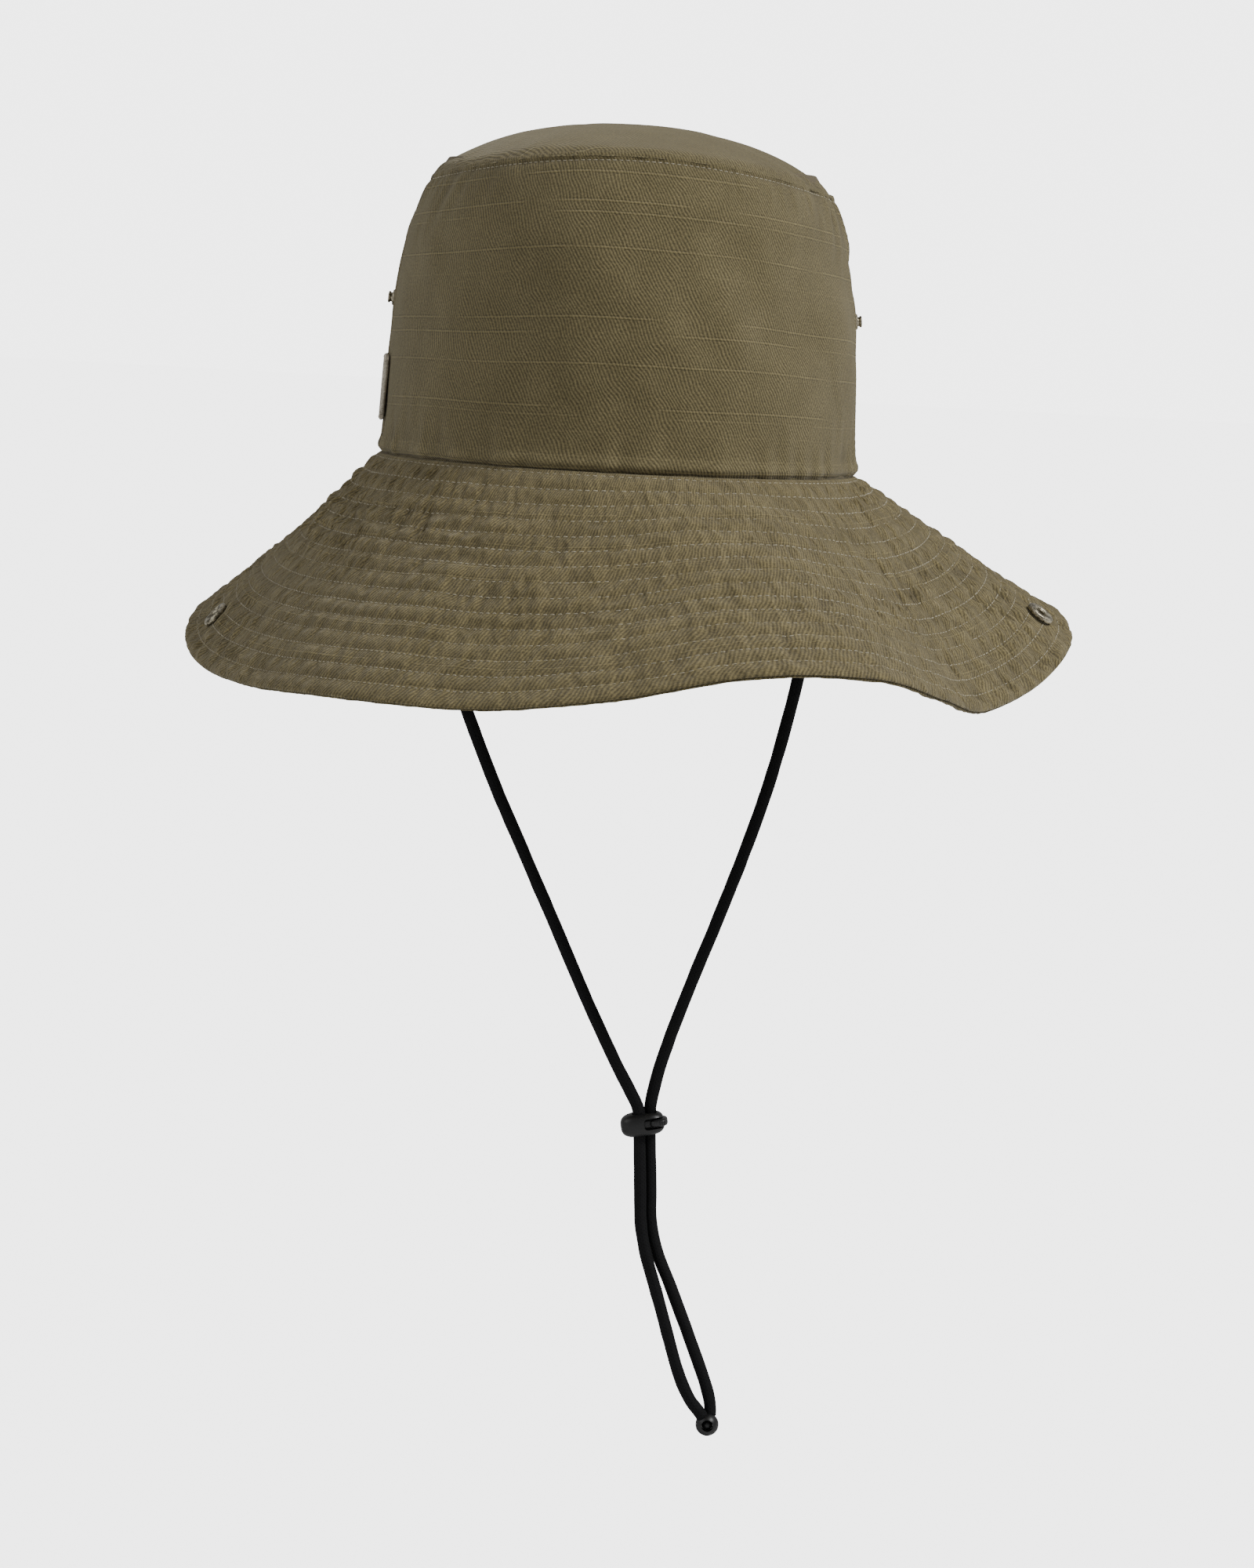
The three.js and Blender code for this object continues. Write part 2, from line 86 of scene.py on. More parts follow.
def addCamera():
    azimuth, elevation = math.radians(camera["azimuth"]), math.radians(camera["elevation"])
    back = Vector((-math.sin(azimuth) * math.cos(elevation), -math.cos(azimuth) * math.cos(elevation),
                   math.sin(elevation)))
    bpy.ops.object.camera_add(location=camera["aim"] + back * camera["distance"])
    eye = bpy.context.object
    turn = back.to_track_quat("Z", "Y").to_matrix().to_4x4()
    turn = turn @ Matrix.Rotation(math.radians(camera["roll"]), 4, "Z")
    eye.rotation_euler = turn.to_euler()
    eye.data.sensor_fit = "VERTICAL"
    eye.data.sensor_height = camera["sensor"]
    eye.data.lens = camera["sensor"] * camera["distance"] / camera["frameHeight"]
    eye.data.clip_end = 20
    bpy.context.scene.camera = eye


bpy.ops.object.select_all(action="DESELECT")
addCamera()
print("camera")

# sizes that come from the frame: the crown's base, its seams and its peak
wallLow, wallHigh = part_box("crown_front_panel")
tipLow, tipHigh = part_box("crown_tip")

crown = {
    "halfWidth": wallHigh.x,                 # over the cloth, at the base seam
    "halfDepth": -wallLow.y,
    "sideHeight": tipLow.z - 0.3 * mm,       # base seam to tip seam, at the sides
    "tipRise": wallHigh.z - tipLow.z + 0.3 * mm,
    "peak": tipHigh.z,
    "lean": 3.5 * mm,
    "shoulder": 10 * mm,
    "shoulderPower": 5,
    "tipPower": 2.6,
    "tipLift": 0.3 * mm,                     # tip cloth over the wall's edge
    "cloth": 1.0 * mm,
    "tipRow": 2.3 * mm,                      # tip seam to its row of stitches
    "sink": 0.595 * mm,                      # how much the wall's middle draws in between its wrinkles
    "hemTurn": 0.3 * mm,                     # how far the wall's cloth runs on below the base seam
    "seamRows": (1.6 * mm, 4.9 * mm),        # side seam to its two rows of stitches
    "panelGap": 0.12 * mm,
}

brim = {
    "width": 98 * mm,
    "tuck": 1.6 * mm,                        # how far the brim runs in under the wall's hem
    "seamDrop": 0.6 * mm,
    "bendGap": 2.6 * mm,                     # base seam to where the brim starts to bend
    "hang": [34, 29.5, 27, 27, 29, 31, 33, 33, 33, 34, 37, 43,
             48.5, 52, 53.5, 53.5, 53.5, 52.5, 47, 39, 38.5, 45, 50, 44],
    "layer": 0.85 * mm,
    "thickness": 2.1 * mm,
    "firstRow": 1.7 * mm,                    # base seam to the first row of stitches
    "rowPitch": 6.45 * mm,
    "rows": 15,
    "puff": 0.75 * mm,                       # how far the cloth stands up between two rows
    "pucker": 1.25 * mm,
    "deepest": 0.3 * mm,                     # hollows flatten out below this depth
    "roll": 1.3 * mm,                        # slow waves of the cloth
    "snapDistance": 82.7 * mm,               # base seam to the sockets, where the cloth lies flat
}

thread = {"length": 1.75 * mm, "pitch": 2.8 * mm, "radius": 0.2 * mm, "lift": 0.1 * mm}     # on the brim
stitchSides = 5

# length, pitch, radius and lift of the other stitches, in millimetres
stitches = {"tip": (1.7, 2.6, 0.2, 0.12), "seam": (2, 2.8, 0.21, 0.13), "band": (2.2, 3.1, 0.22, 0.12),
            "tape": (2, 2.8, 0.2, 0.12)}


def smoothNoise(x, y, seed, period=256):
    # smooth random heights, about -1 to 1, one new value per unit of x and of y
    table = np.random.RandomState(seed).uniform(-1, 1, (256, 256))
    x, y = np.broadcast_arrays(np.asarray(x, float), np.asarray(y, float))
    cellX, cellY = np.floor(x).astype(int), np.floor(y).astype(int)
    fx, fy = x - cellX, y - cellY
    fx, fy = fx * fx * (3 - 2 * fx), fy * fy * (3 - 2 * fy)

    def corner(dx, dy):
        return table[(cellX + dx) % period, (cellY + dy) % 256]

    low = corner(0, 0) * (1 - fx) + corner(1, 0) * fx
    high = corner(0, 1) * (1 - fx) + corner(1, 1) * fx
    return low * (1 - fy) + high * fy


def smoothStep(x, start, end):
    t = np.clip((x - start) / (end - start), 0, 1)
    return t * t * (3 - 2 * t)


def hump(x, centre, width):
    return np.exp(-(((x - centre) / width) ** 2))


def aroundFrom(angle, place):
    # how far an angle is from another one, round the hat, in radians
    return np.abs((angle - place + math.pi) % fullTurn - math.pi)


def fromSide(angle):
    # arc from the nearer side seam
    return np.minimum(aroundFrom(angle, 0), aroundFrom(angle, math.pi)) * crown["halfDepth"]


def unit(vectors):
    return vectors / (np.linalg.norm(vectors, axis=1)[:, None] + 1e-12)


def curveThrough(p0, p1, p2, p3, t):
    # from p1 to p2 as t goes from 0 to 1, in line with the points on either side
    return p1 + 0.5 * t * (p2 - p0 + t * (2 * p0 - 5 * p1 + 4 * p2 - p3 + t * (3 * (p1 - p2) + p3 - p0)))


def deselected():
    bpy.ops.object.select_all(action="DESELECT")


def selectOnly(piece):
    deselected()
    piece.select_set(True)
    bpy.context.view_layer.objects.active = piece


def applyModifiers(piece):
    selectOnly(piece)
    for modifier in list(piece.modifiers):
        bpy.ops.object.modifier_apply(modifier=modifier.name)


def placed(piece):
    # its location, turn and scale go into the mesh
    bpy.ops.object.transform_apply(location=True, rotation=True, scale=True)
    return piece


def settle(piece, angle=40):
    # the place goes into the mesh, faces point outwards, crisp folds stay crisp
    selectOnly(piece)
    placed(piece)
    bpy.ops.object.mode_set(mode="EDIT")
    bpy.ops.mesh.select_all(action="SELECT")
    bpy.ops.mesh.normals_make_consistent(inside=False)
    bpy.ops.object.mode_set(mode="OBJECT")
    bpy.ops.object.shade_smooth_by_angle(angle=math.radians(angle))
    deselected()
    return piece


def newMesh(name, points, faces, uv=None, values=None):
    mesh = bpy.data.meshes.new(name)
    mesh.from_pydata(points.tolist(), [], faces)
    piece = bpy.data.objects.new(name, mesh)
    bpy.context.scene.collection.objects.link(piece)
    if uv is not None:
        loops = np.zeros(len(mesh.loops), int)
        mesh.loops.foreach_get("vertex_index", loops)
        layer = mesh.uv_layers.new(name="clothUV")
        layer.data.foreach_set("uv", np.asarray(uv, np.float32)[loops].ravel())
    for valueName, value in (values or {}).items():
        attribute = mesh.attributes.new(valueName, "FLOAT", "POINT")
        attribute.data.foreach_set("value", np.asarray(value, np.float32).ravel())
    return piece


def gridFaces(columns, rows, roundColumns, roundRows):
    faces = []
    for column in range(columns if roundColumns else columns - 1):
        following = (column + 1) % columns
        for row in range(rows if roundRows else rows - 1):
            above = (row + 1) % rows
            faces.append((column * rows + row, following * rows + row,
                          following * rows + above, column * rows + above))
    return faces


def tubeFaces(rows, sides, base=0):
    # a tube with closed ends, ring after ring, from corner number base
    faces = []
    for row in range(rows - 1):
        for i in range(sides):
            a, b = base + row * sides + i, base + row * sides + (i + 1) % sides
            faces.append((a, b, b + sides, a + sides))
    faces.append(tuple(base + sides - 1 - i for i in range(sides)))
    faces.append(tuple(base + (rows - 1) * sides + i for i in range(sides)))
    return faces


def clothSheet(name, angles, profile, place, uvAcross, roundHat=False):
    # a closed sheet: profile is its section as (distance, depth) corners, once round both faces
    distance = np.array([corner[0] for corner in profile])
    depth = np.array([corner[1] for corner in profile])
    angle = np.repeat(angles, len(profile))
    points, height = place(angle, np.tile(distance, len(angles)), np.tile(depth, len(angles)))
    faces = gridFaces(len(angles), len(profile), roundHat, True)
    if not roundHat:
        rows = len(profile)
        faces.append(tuple(range(rows)))
        faces.append(tuple(range((len(angles) - 1) * rows + rows - 1, (len(angles) - 1) * rows - 1, -1)))
    uv = np.stack([np.repeat(uvAcross, len(profile)), np.tile(distance, len(angles))], 1)
    return newMesh(name, points, faces, uv, {"relief": height})


def section(length, topRows, thickness, insideRows, edgeSteps=4, start=0.0):
    # the section of a sheet: outer face, rolled edge, inner face and back to the start
    outer = [(start + (length - start) * step / topRows, 0.0) for step in range(topRows + 1)]
    roll = []
    for step in range(1, edgeSteps):
        turn = math.pi * step / edgeSteps
        roll.append((length + math.sin(turn) * thickness / 2, thickness * (1 - math.cos(turn)) / 2))
    inner = [(length - (length - start) * step / insideRows, thickness) for step in range(insideRows + 1)]
    return outer + roll + inner


def outward(angle):
    x, y = np.cos(angle) / crown["halfWidth"], np.sin(angle) / crown["halfDepth"]
    size = np.hypot(x, y)
    return x / size, y / size


def arcLength(angles):
    x, y = crown["halfWidth"] * np.cos(angles), crown["halfDepth"] * np.sin(angles)
    return np.concatenate([[0], np.cumsum(np.hypot(np.diff(x), np.diff(y)))])


def evenAngles(start, end, count):
    # angles an even arc apart round the base seam
    fine = np.linspace(start, end, 2000)
    along = arcLength(fine)
    return np.interp(np.linspace(0, along[-1], count), along, fine)


fineTurn = np.linspace(0, fullTurn, 4001)
fineArc = arcLength(fineTurn)
baseLength = fineArc[-1]


def arcAt(angle):
    # arc from +X to an angle, for patterns that run unbroken round the hat
    turns = np.floor(angle / fullTurn)
    return np.interp(angle - turns * fullTurn, fineTurn, fineArc) + turns * baseLength


def roundNoise(angle, cell, y, seed, shift=0.0):
    # noise that closes on itself round the hat, one new value per cell of the base seam
    cells = min(256, max(3, round(baseLength / cell)))
    return smoothNoise(arcAt(angle) / baseLength * cells + shift, y, seed, cells)


def tipSeamHeight(angle):
    return crown["sideHeight"] + crown["tipRise"] * np.sin(angle) ** 2


def wallPoint(angle, share, depth):
    inset = crown["lean"] * share + crown["shoulder"] * share ** crown["shoulderPower"] + depth
    return np.stack([(crown["halfWidth"] - inset) * np.cos(angle),
                     (crown["halfDepth"] - inset) * np.sin(angle),
                     tipSeamHeight(angle) * share], -1)


def hangAt(angle):
    # a smooth closed curve through the brim's even steps
    count = len(brim["hang"])
    values = np.array(brim["hang"], float)
    place = (angle / fullTurn % 1) * count
    step = np.floor(place).astype(int)
    around = (values[(step + shift) % count] for shift in (-1, 0, 1, 2))
    return np.radians(curveThrough(*around, place - step))


def brimPoint(angle, distance, depth):
    awayX, awayY = outward(angle)
    hang = hangAt(angle)
    out = 0.3 * mm + distance * np.cos(hang) - depth * np.sin(hang)
    return np.stack([crown["halfWidth"] * np.cos(angle) + awayX * out,
                     crown["halfDepth"] * np.sin(angle) + awayY * out,
                     -brim["seamDrop"] - np.maximum(distance, 0) * np.sin(hang) - depth * np.cos(hang)], -1)


def rowWave(distance):
    # 0 on a row of stitches, 1 half way between two rows
    place = (distance - brim["firstRow"]) / brim["rowPitch"]
    inside = smoothStep(distance, 0, brim["firstRow"])
    return np.abs(np.sin(math.pi * place)) ** 0.75 * inside


def puckerNoise(angle, distance, cell, depthCell, seed):
    # ridges that run outwards and split in two on the way, to stay about as wide
    outer = smoothStep(distance, 25 * mm, 75 * mm)
    drift = 1.5 * smoothNoise(distance / (30 * mm), 0 * distance, seed + 7)
    near = roundNoise(angle, cell, distance / depthCell, seed, drift)
    far = roundNoise(angle, cell / 1.8, distance / depthCell, seed + 1, drift)
    return (near * (1 - outer) + far * outer) / np.sqrt(outer ** 2 + (1 - outer) ** 2)


# how high each kind of wrinkle is, its size round the hat and along the cloth, its slant (0 for none), all in
# millimetres, and its seed
wrinkles = {
    "crownGathers": (0.55, 2.6, 22, 0, 51), "crownFolds": (1.3, 6, 40, 14, 52), "crownLowFolds": (1.0, 5, 22, 0, 53),
    "crownBroad": (1.7, 40, 44, 0, 54), "crownSoft": (0.9, 14, 24, 30, 55),
    "tipGathers": (0.5, 2.8, 24, 0, 61), "tipFolds": (1.0, 7, 30, 16, 62),
}


def wrinkle(kind, angle, along):
    height, wide, long, slant, seed = wrinkles[kind]
    shift = along / (slant * mm) if slant else 0.0
    return height * mm * roundNoise(angle, wide * mm, along / (long * mm), seed, shift)


def brimRelief(angle, distance, seed):
    sides = 0.5 + 0.5 * np.cos(angle) ** 2
    uneven = 0.8 + 0.55 * roundNoise(angle, 42 * mm, distance / (28 * mm), seed + 2)
    between = rowWave(distance)
    broad = puckerNoise(angle, distance, 4.2 * mm, 13 * mm, seed + 20)
    fine = puckerNoise(angle, distance, 2.1 * mm, 5.5 * mm, seed + 30)
    crinkle = 0.6 - 2.4 * np.abs(fine)
    puckers = brim["pucker"] * sides * uneven * (0.7 * broad + 0.55 * crinkle) * (0.45 + 0.55 * between)
    puffs = brim["puff"] * (0.8 + 0.3 * roundNoise(angle, 8 * mm, distance / brim["rowPitch"], seed + 3))
    slow = brim["roll"] * roundNoise(angle, 40 * mm, distance / (60 * mm), seed + 4) * distance / brim["width"]
    slow += 0.45 * mm * roundNoise(angle, 13 * mm, distance / (24 * mm), seed + 5)
    # the cloth lies flat round the sockets, where the brim is wider than at its seam
    flat = 1 - hump(distance, brim["snapDistance"], 8 * mm) * hump(fromSide(angle) * 1.6, 0, 8 * mm)
    fade = smoothStep(distance, 0, 4 * mm) * flat
    # shade: the mask for the cloth's colour, painted shade in the pucker hollows and paler puffs and ridges, part
    # wear and part painted highlight
    shade = puckers * fade / brim["pucker"] + 0.5 * between - 0.25
    relief = puckers * fade + puffs * between * (0.3 + 0.7 * flat)
    # hollows stay shallower than the layer is thick, so that nothing under it shows
    deep = brim["deepest"]
    relief = np.where(relief < -deep, deep * np.tanh((relief + deep) / deep) - deep, relief)
    return relief, slow * fade, shade


def brimTop(angle, distance, depth):
    relief, slow, shade = brimRelief(angle, distance, 11)
    topShare = np.clip(1 - depth / brim["layer"], 0, 1)
    point = brimPoint(angle, distance, depth - slow - relief * topShare)
    return point, shade * topShare


def brimBottom(angle, distance, depth):
    # depth counts down from the under layer's hidden face
    relief, _, shade = brimRelief(angle, distance, 31)
    slow = brimRelief(angle, distance, 11)[1]
    share = np.clip(depth / brim["layer"], 0, 1)
    below = brim["thickness"] - brim["layer"] + depth - slow + relief * share
    return brimPoint(angle, distance, below), shade * share


def wallRelief(angle, height):
    toTip = tipSeamHeight(angle) - height
    corner = 0.45 + 0.55 * np.cos(angle) ** 4
    gathers = wrinkle("crownGathers", angle, height) * hump(toTip, 4 * mm, 6 * mm) * corner
    # the folds' pattern runs down from the tip seam
    folds = wrinkle("crownFolds", angle, toTip) * hump(toTip, 8 * mm, 14 * mm) * np.cos(angle) ** 6
    stitchDip = -0.5 * mm * hump(toTip, crown["tipRow"], 0.9 * mm)
    lowFolds = wrinkle("crownLowFolds", angle, height) * hump(height, 3 * mm, 13 * mm) * corner
    broad = wrinkle("crownBroad", angle, height) - crown["sink"]
    hem = 0.85 * mm * hump(height, 2.4 * mm, 2.2 * mm) - 0.9 * mm * (1 - smoothStep(height, -0.5 * mm, 1.4 * mm))
    level = smoothStep(height, 0, 14 * mm) * smoothStep(toTip, 0, 14 * mm)
    level = level * (1 - hump(height, snap["studHeight"], 12 * mm) * hump(fromSide(angle), 0, 12 * mm))
    # the wall may only sink in where no band or tape lies behind it
    hollowRoom = smoothStep(height, 34 * mm, 48 * mm) * smoothStep(toTip, 16 * mm, 28 * mm)
    slow = (broad + wrinkle("crownSoft", angle, height)) * level
    slow = np.where(slow < 0, slow * (0.08 + 0.92 * hollowRoom), slow)
    return gathers + folds + stitchDip + lowFolds + hem, slow


def nodeGroup(name, inputs, outputs):
    group = bpy.data.node_groups.new(name, "ShaderNodeTree")
    for socketName, kind, value in inputs:
        socket = group.interface.new_socket(socketName, in_out="INPUT", socket_type=kind)
        socket.default_value = value
    for socketName, kind in outputs:
        group.interface.new_socket(socketName, in_out="OUTPUT", socket_type=kind)
    return group, group.nodes.new("NodeGroupInput"), group.nodes.new("NodeGroupOutput")


def connect(tree, node, links):
    # links maps an input's name or number to a socket or a plain value
    for key, source in links.items():
        if isinstance(source, bpy.types.NodeSocket):
            tree.links.new(source, node.inputs[key])
        else:
            node.inputs[key].default_value = source
    return node


def addNode(tree, kind, links=None, **fields):
    node = tree.nodes.new("ShaderNode" + kind)
    for field, value in fields.items():
        setattr(node, field, value)
    return connect(tree, node, links or {})


def calc(tree, operation, *values):
    return addNode(tree, "Math", dict(enumerate(values)), operation=operation).outputs[0]


def product(tree, *values):
    return calc(tree, "MULTIPLY", *values)


def total(tree, *values):
    return calc(tree, "ADD", *values)


def ramp(tree, value, low, high, toLow=0.0, toHigh=1.0):
    return addNode(tree, "MapRange", {0: value, 1: low, 2: high, 3: toLow, 4: toHigh},
                   interpolation_type="SMOOTHSTEP").outputs[0]


def mixColour(tree, factor, first, second, blend="MIX"):
    return addNode(tree, "Mix", {0: factor, 6: first, 7: second}, data_type="RGBA", blend_type=blend).outputs[2]


def noise(tree, vector, scale, detail=2.0, roughness=0.5):
    return addNode(tree, "TexNoise", {"Vector": vector, "Scale": scale, "Detail": detail,
                                      "Roughness": roughness}).outputs["Fac"]


def stretched(tree, vector, x, y, z=1.0):
    return addNode(tree, "Mapping", {"Vector": vector, "Scale": (x, y, z)}).outputs[0]


def bump(tree, height, strength, distance):
    return addNode(tree, "Bump", {"Strength": strength, "Distance": distance, "Height": height}).outputs[0]


def objectPlace(tree):
    return addNode(tree, "TexCoord").outputs["Object"]


slubPitch = 5.2 * mm


def makeWeave():
    # twill cloth, from UVs in metres: a height and a shade for its ribs, yarns and slubs
    group, given, result = nodeGroup("twillWeave", [
        ("Vector", "NodeSocketVector", (0, 0, 0)), ("Rib Pitch", "NodeSocketFloat", 1.1 * mm),
        ("Rib Angle", "NodeSocketFloat", 62.0), ("Slub Amount", "NodeSocketFloat", 0.5)],
        [("Height", "NodeSocketFloat"), ("Shade", "NodeSocketFloat")])
    vector = given.outputs["Vector"]
    drift = noise(group, stretched(group, vector, 90, 90), 1.0, 1)
    turnedBy = calc(group, "RADIANS", given.outputs["Rib Angle"])
    split = addNode(group, "SeparateXYZ", {0: vector}).outputs
    across = total(group, product(group, split[0], calc(group, "SINE", turnedBy)),
                   product(group, split[1], calc(group, "COSINE", turnedBy)))
    wobble = product(group, drift, 0.0035)
    phase = calc(group, "DIVIDE", total(group, across, wobble), given.outputs["Rib Pitch"])
    rib = calc(group, "MULTIPLY_ADD", calc(group, "SINE", product(group, phase, fullTurn)), 0.5, 0.5)
    yarn = noise(group, stretched(group, vector, 1100, 1500), 1.0, 3, 0.7)
    # slubs: thin lines an uneven few millimetres apart, each fading in and out along its length
    wander = product(group, noise(group, stretched(group, vector, 9, 9), 1.0, 1), 0.9)
    lane = total(group, calc(group, "DIVIDE", split[1], slubPitch), wander)
    cell = calc(group, "FLOOR", lane)
    spot, strong = (addNode(group, "TexWhiteNoise", {"W": source}, noise_dimensions="1D").outputs["Value"]
                    for source in (cell, total(group, cell, 31.7)))
    middle = calc(group, "MULTIPLY_ADD", spot, 0.6, 0.2)
    apart = calc(group, "ABSOLUTE", calc(group, "SUBTRACT", calc(group, "FRACT", lane), middle))
    line = ramp(group, apart, 0.02, 0.08, 1.0, 0.0)
    lineUnder = ramp(group, calc(group, "ABSOLUTE", calc(group, "SUBTRACT", apart, 0.1)), 0.0, 0.05, 1.0, 0.0)
    place = addNode(group, "CombineXYZ", {0: product(group, split[0], 24.0), 1: product(group, cell, 3.3)}).outputs[0]
    fading = product(group, ramp(group, strong, 0.15, 0.5), ramp(group, noise(group, place, 1.0, 1), 0.32, 0.5))
    fading = product(group, fading, given.outputs["Slub Amount"])
    slubs = product(group, calc(group, "MULTIPLY_ADD", lineUnder, -0.5, line), fading)
    height = total(group, product(group, rib, 0.45), product(group, yarn, 0.75))
    height = total(group, height, product(group, slubs, 0.9))
    shade = total(group, product(group, rib, 0.55), product(group, ramp(group, yarn, 0.34, 0.66), 0.5))
    shade = total(group, shade, product(group, slubs, 0.8))
    group.links.new(height, result.inputs["Height"])
    group.links.new(shade, result.inputs["Shade"])
    return group


def makeWearAndPaintedShade():
    # washed cloth: paler on ridges and edges, part real wear and part painted highlight; darker in the hollows, as
    # painted shade; with broad faded clouds
    group, given, result = nodeGroup("washWearAndPaintedShade", [
        ("Colour", "NodeSocketColor", (0.2, 0.2, 0.2, 1)), ("Faded", "NodeSocketColor", (0.5, 0.5, 0.5, 1)),
        ("Painted Shade", "NodeSocketColor", (0.1, 0.1, 0.1, 1)), ("Relief", "NodeSocketFloat", 0.0),
        ("Amount", "NodeSocketFloat", 0.6)],
        [("Colour", "NodeSocketColor")])
    place = objectPlace(group)
    clouds = noise(group, place, 70, 5, 0.65)
    speckle = noise(group, place, 900, 2, 0.7)
    # ridges paler: part real wear, part painted highlight
    ridgeWearAndHighlight = ramp(group, given.outputs["Relief"], 0.3, 1.3)
    # hollows darker: painted shade
    hollowShadeMask = ramp(group, given.outputs["Relief"], -1.1, 0.0, 1.0, 0.0)
    rubbed = product(group, ridgeWearAndHighlight, calc(group, "MULTIPLY_ADD", speckle, 1.1, 0.3))
    rubbed = product(group, rubbed, given.outputs["Amount"])
    cloudy = product(group, ramp(group, clouds, 0.3, 0.8), 0.22)
    faded = mixColour(group, calc(group, "MAXIMUM", rubbed, cloudy), given.outputs["Colour"], given.outputs["Faded"])
    shown = mixColour(group, product(group, hollowShadeMask, 0.55), faded, given.outputs["Painted Shade"])
    group.links.new(shown, result.inputs["Colour"])
    return group


weaveGroup = makeWeave()
wearAndShadeGroup = makeWearAndPaintedShade()


def newMaterial(name):
    material = bpy.data.materials.new(name)
    material.use_nodes = True
    tree = material.node_tree
    return material, tree, tree.nodes["Principled BSDF"]


def useGroup(tree, group, links):
    node = tree.nodes.new("ShaderNodeGroup")
    node.node_tree = group
    return connect(tree, node, links).outputs


def clothMaterial(name, colour, faded, deep, ribAngle=62, slubs=0.5, wear=0.6, crinkle=0.0):
    # deep is the colour of the painted shade in the hollows; faded is the colour of the faded clouds and of the paler
    # ridges, part wear and part painted highlight
    material, tree, shader = newMaterial(name)
    uv = addNode(tree, "UVMap", uv_map="clothUV").outputs[0]
    relief = addNode(tree, "Attribute", attribute_name="relief").outputs["Fac"]
    weave = useGroup(tree, weaveGroup, {"Vector": uv, "Rib Angle": ribAngle, "Slub Amount": slubs})
    # the wear group paints shade into the hollows and partly paints highlights on the ridges
    worn = useGroup(tree, wearAndShadeGroup, {"Colour": colour, "Faded": faded, "Painted Shade": deep, "Relief": relief,
                                      "Amount": wear})
    shade, height = ramp(tree, weave["Shade"], -0.1, 1.3, 0.5, 1.75), weave["Height"]
    if crinkle:
        # fine crinkles pulled up between the stitches, across the rows, as bumps; their crests are painted lighter
        # and their valleys darker, as painted highlight and painted shade
        crinkleReliefAndShade = noise(tree, stretched(tree, uv, 290, 105), 1.0, 2, 0.55)
        height = calc(tree, "MULTIPLY_ADD", crinkleReliefAndShade, crinkle, height)
        shade = product(tree, shade, ramp(tree, crinkleReliefAndShade, 0.34, 0.68, 0.84, 1.2))
    tint = addNode(tree, "CombineColor", {0: shade, 1: shade, 2: shade}).outputs[0]
    connect(tree, shader, {
        "Base Color": mixColour(tree, 1.0, worn["Colour"], tint, "MULTIPLY"),
        "Roughness": ramp(tree, weave["Height"], 0, 1, 0.95, 0.82), "Normal": bump(tree, height, 0.8, 0.3 * mm),
        "Sheen Weight": 0.22, "Sheen Roughness": 0.55, "Sheen Tint": (0.8, 0.75, 0.62, 1),
        "Specular IOR Level": 0.25})
    return material


def threadMaterial(name, colour, dark):
    # twisted sewing thread
    material, tree, shader = newMaterial(name)
    place = objectPlace(tree)
    fibres = noise(tree, place, 2600, 2, 0.6)
    blend = total(tree, product(tree, fibres, 0.6), product(tree, noise(tree, place, 60, 2), 0.4))
    connect(tree, shader, {"Base Color": mixColour(tree, ramp(tree, blend, 0.3, 0.7), dark, colour),
                           "Normal": bump(tree, fibres, 0.5, 0.1 * mm), "Roughness": 0.6})
    return material


def metalMaterial(name, bright, dull):
    # antiqued brass: dull in the hollows, rubbed bright where it stands proud
    material, tree, shader = newMaterial(name)
    place = objectPlace(tree)
    patina = noise(tree, place, 420, 4, 0.65)
    scratches = noise(tree, stretched(tree, place, 900, 160, 900), 2.0, 2)
    rubbed = ramp(tree, total(tree, patina, product(tree, scratches, 0.4)), 0.55, 0.85)
    connect(tree, shader, {"Base Color": mixColour(tree, rubbed, dull, bright),
                           "Roughness": ramp(tree, patina, 0.3, 0.75, 0.28, 0.52),
                           "Normal": bump(tree, patina, 0.25, 0.06 * mm), "Metallic": 0.92})
    return material


def plasticMaterial(name, colour, scuffed):
    # satin moulded plastic with a fine spark-eroded grain and light scuffs
    material, tree, shader = newMaterial(name)
    place = objectPlace(tree)
    grain = noise(tree, place, 5200, 2, 0.6)
    worn = ramp(tree, noise(tree, stretched(tree, place, 500, 2200, 700), 1.0, 3, 0.7), 0.62, 0.78)
    connect(tree, shader, {"Base Color": mixColour(tree, product(tree, worn, 0.5), colour, scuffed),
                           "Roughness": ramp(tree, total(tree, grain, worn), 0.3, 1.4, 0.4, 0.6),
                           "Normal": bump(tree, grain, 0.2, 0.05 * mm), "Specular IOR Level": 0.4})
    return material


def braidMaterial(name, colour, worn):
    # the braid's strands are in the mesh, this adds their filaments; the strands are painted darker in the gaps and
    # where they pass under one another, as painted shade
    material, tree, shader = newMaterial(name)
    uv = addNode(tree, "UVMap", uv_map="clothUV").outputs[0]
    relief = addNode(tree, "Attribute", attribute_name="relief").outputs["Fac"]
    filaments = noise(tree, stretched(tree, uv, 5200, 900), 1.0, 2, 0.6)
    # painted shade between and under the strands
    shown = product(tree, ramp(tree, relief, 0.35, 1.1), total(tree, filaments, 0.25))
    connect(tree, shader, {"Base Color": mixColour(tree, shown, colour, worn),
                           "Roughness": ramp(tree, filaments, 0.2, 0.8, 0.62, 0.85),
                           "Normal": bump(tree, filaments, 0.5, 0.12 * mm), "Specular IOR Level": 0.12})
    return material
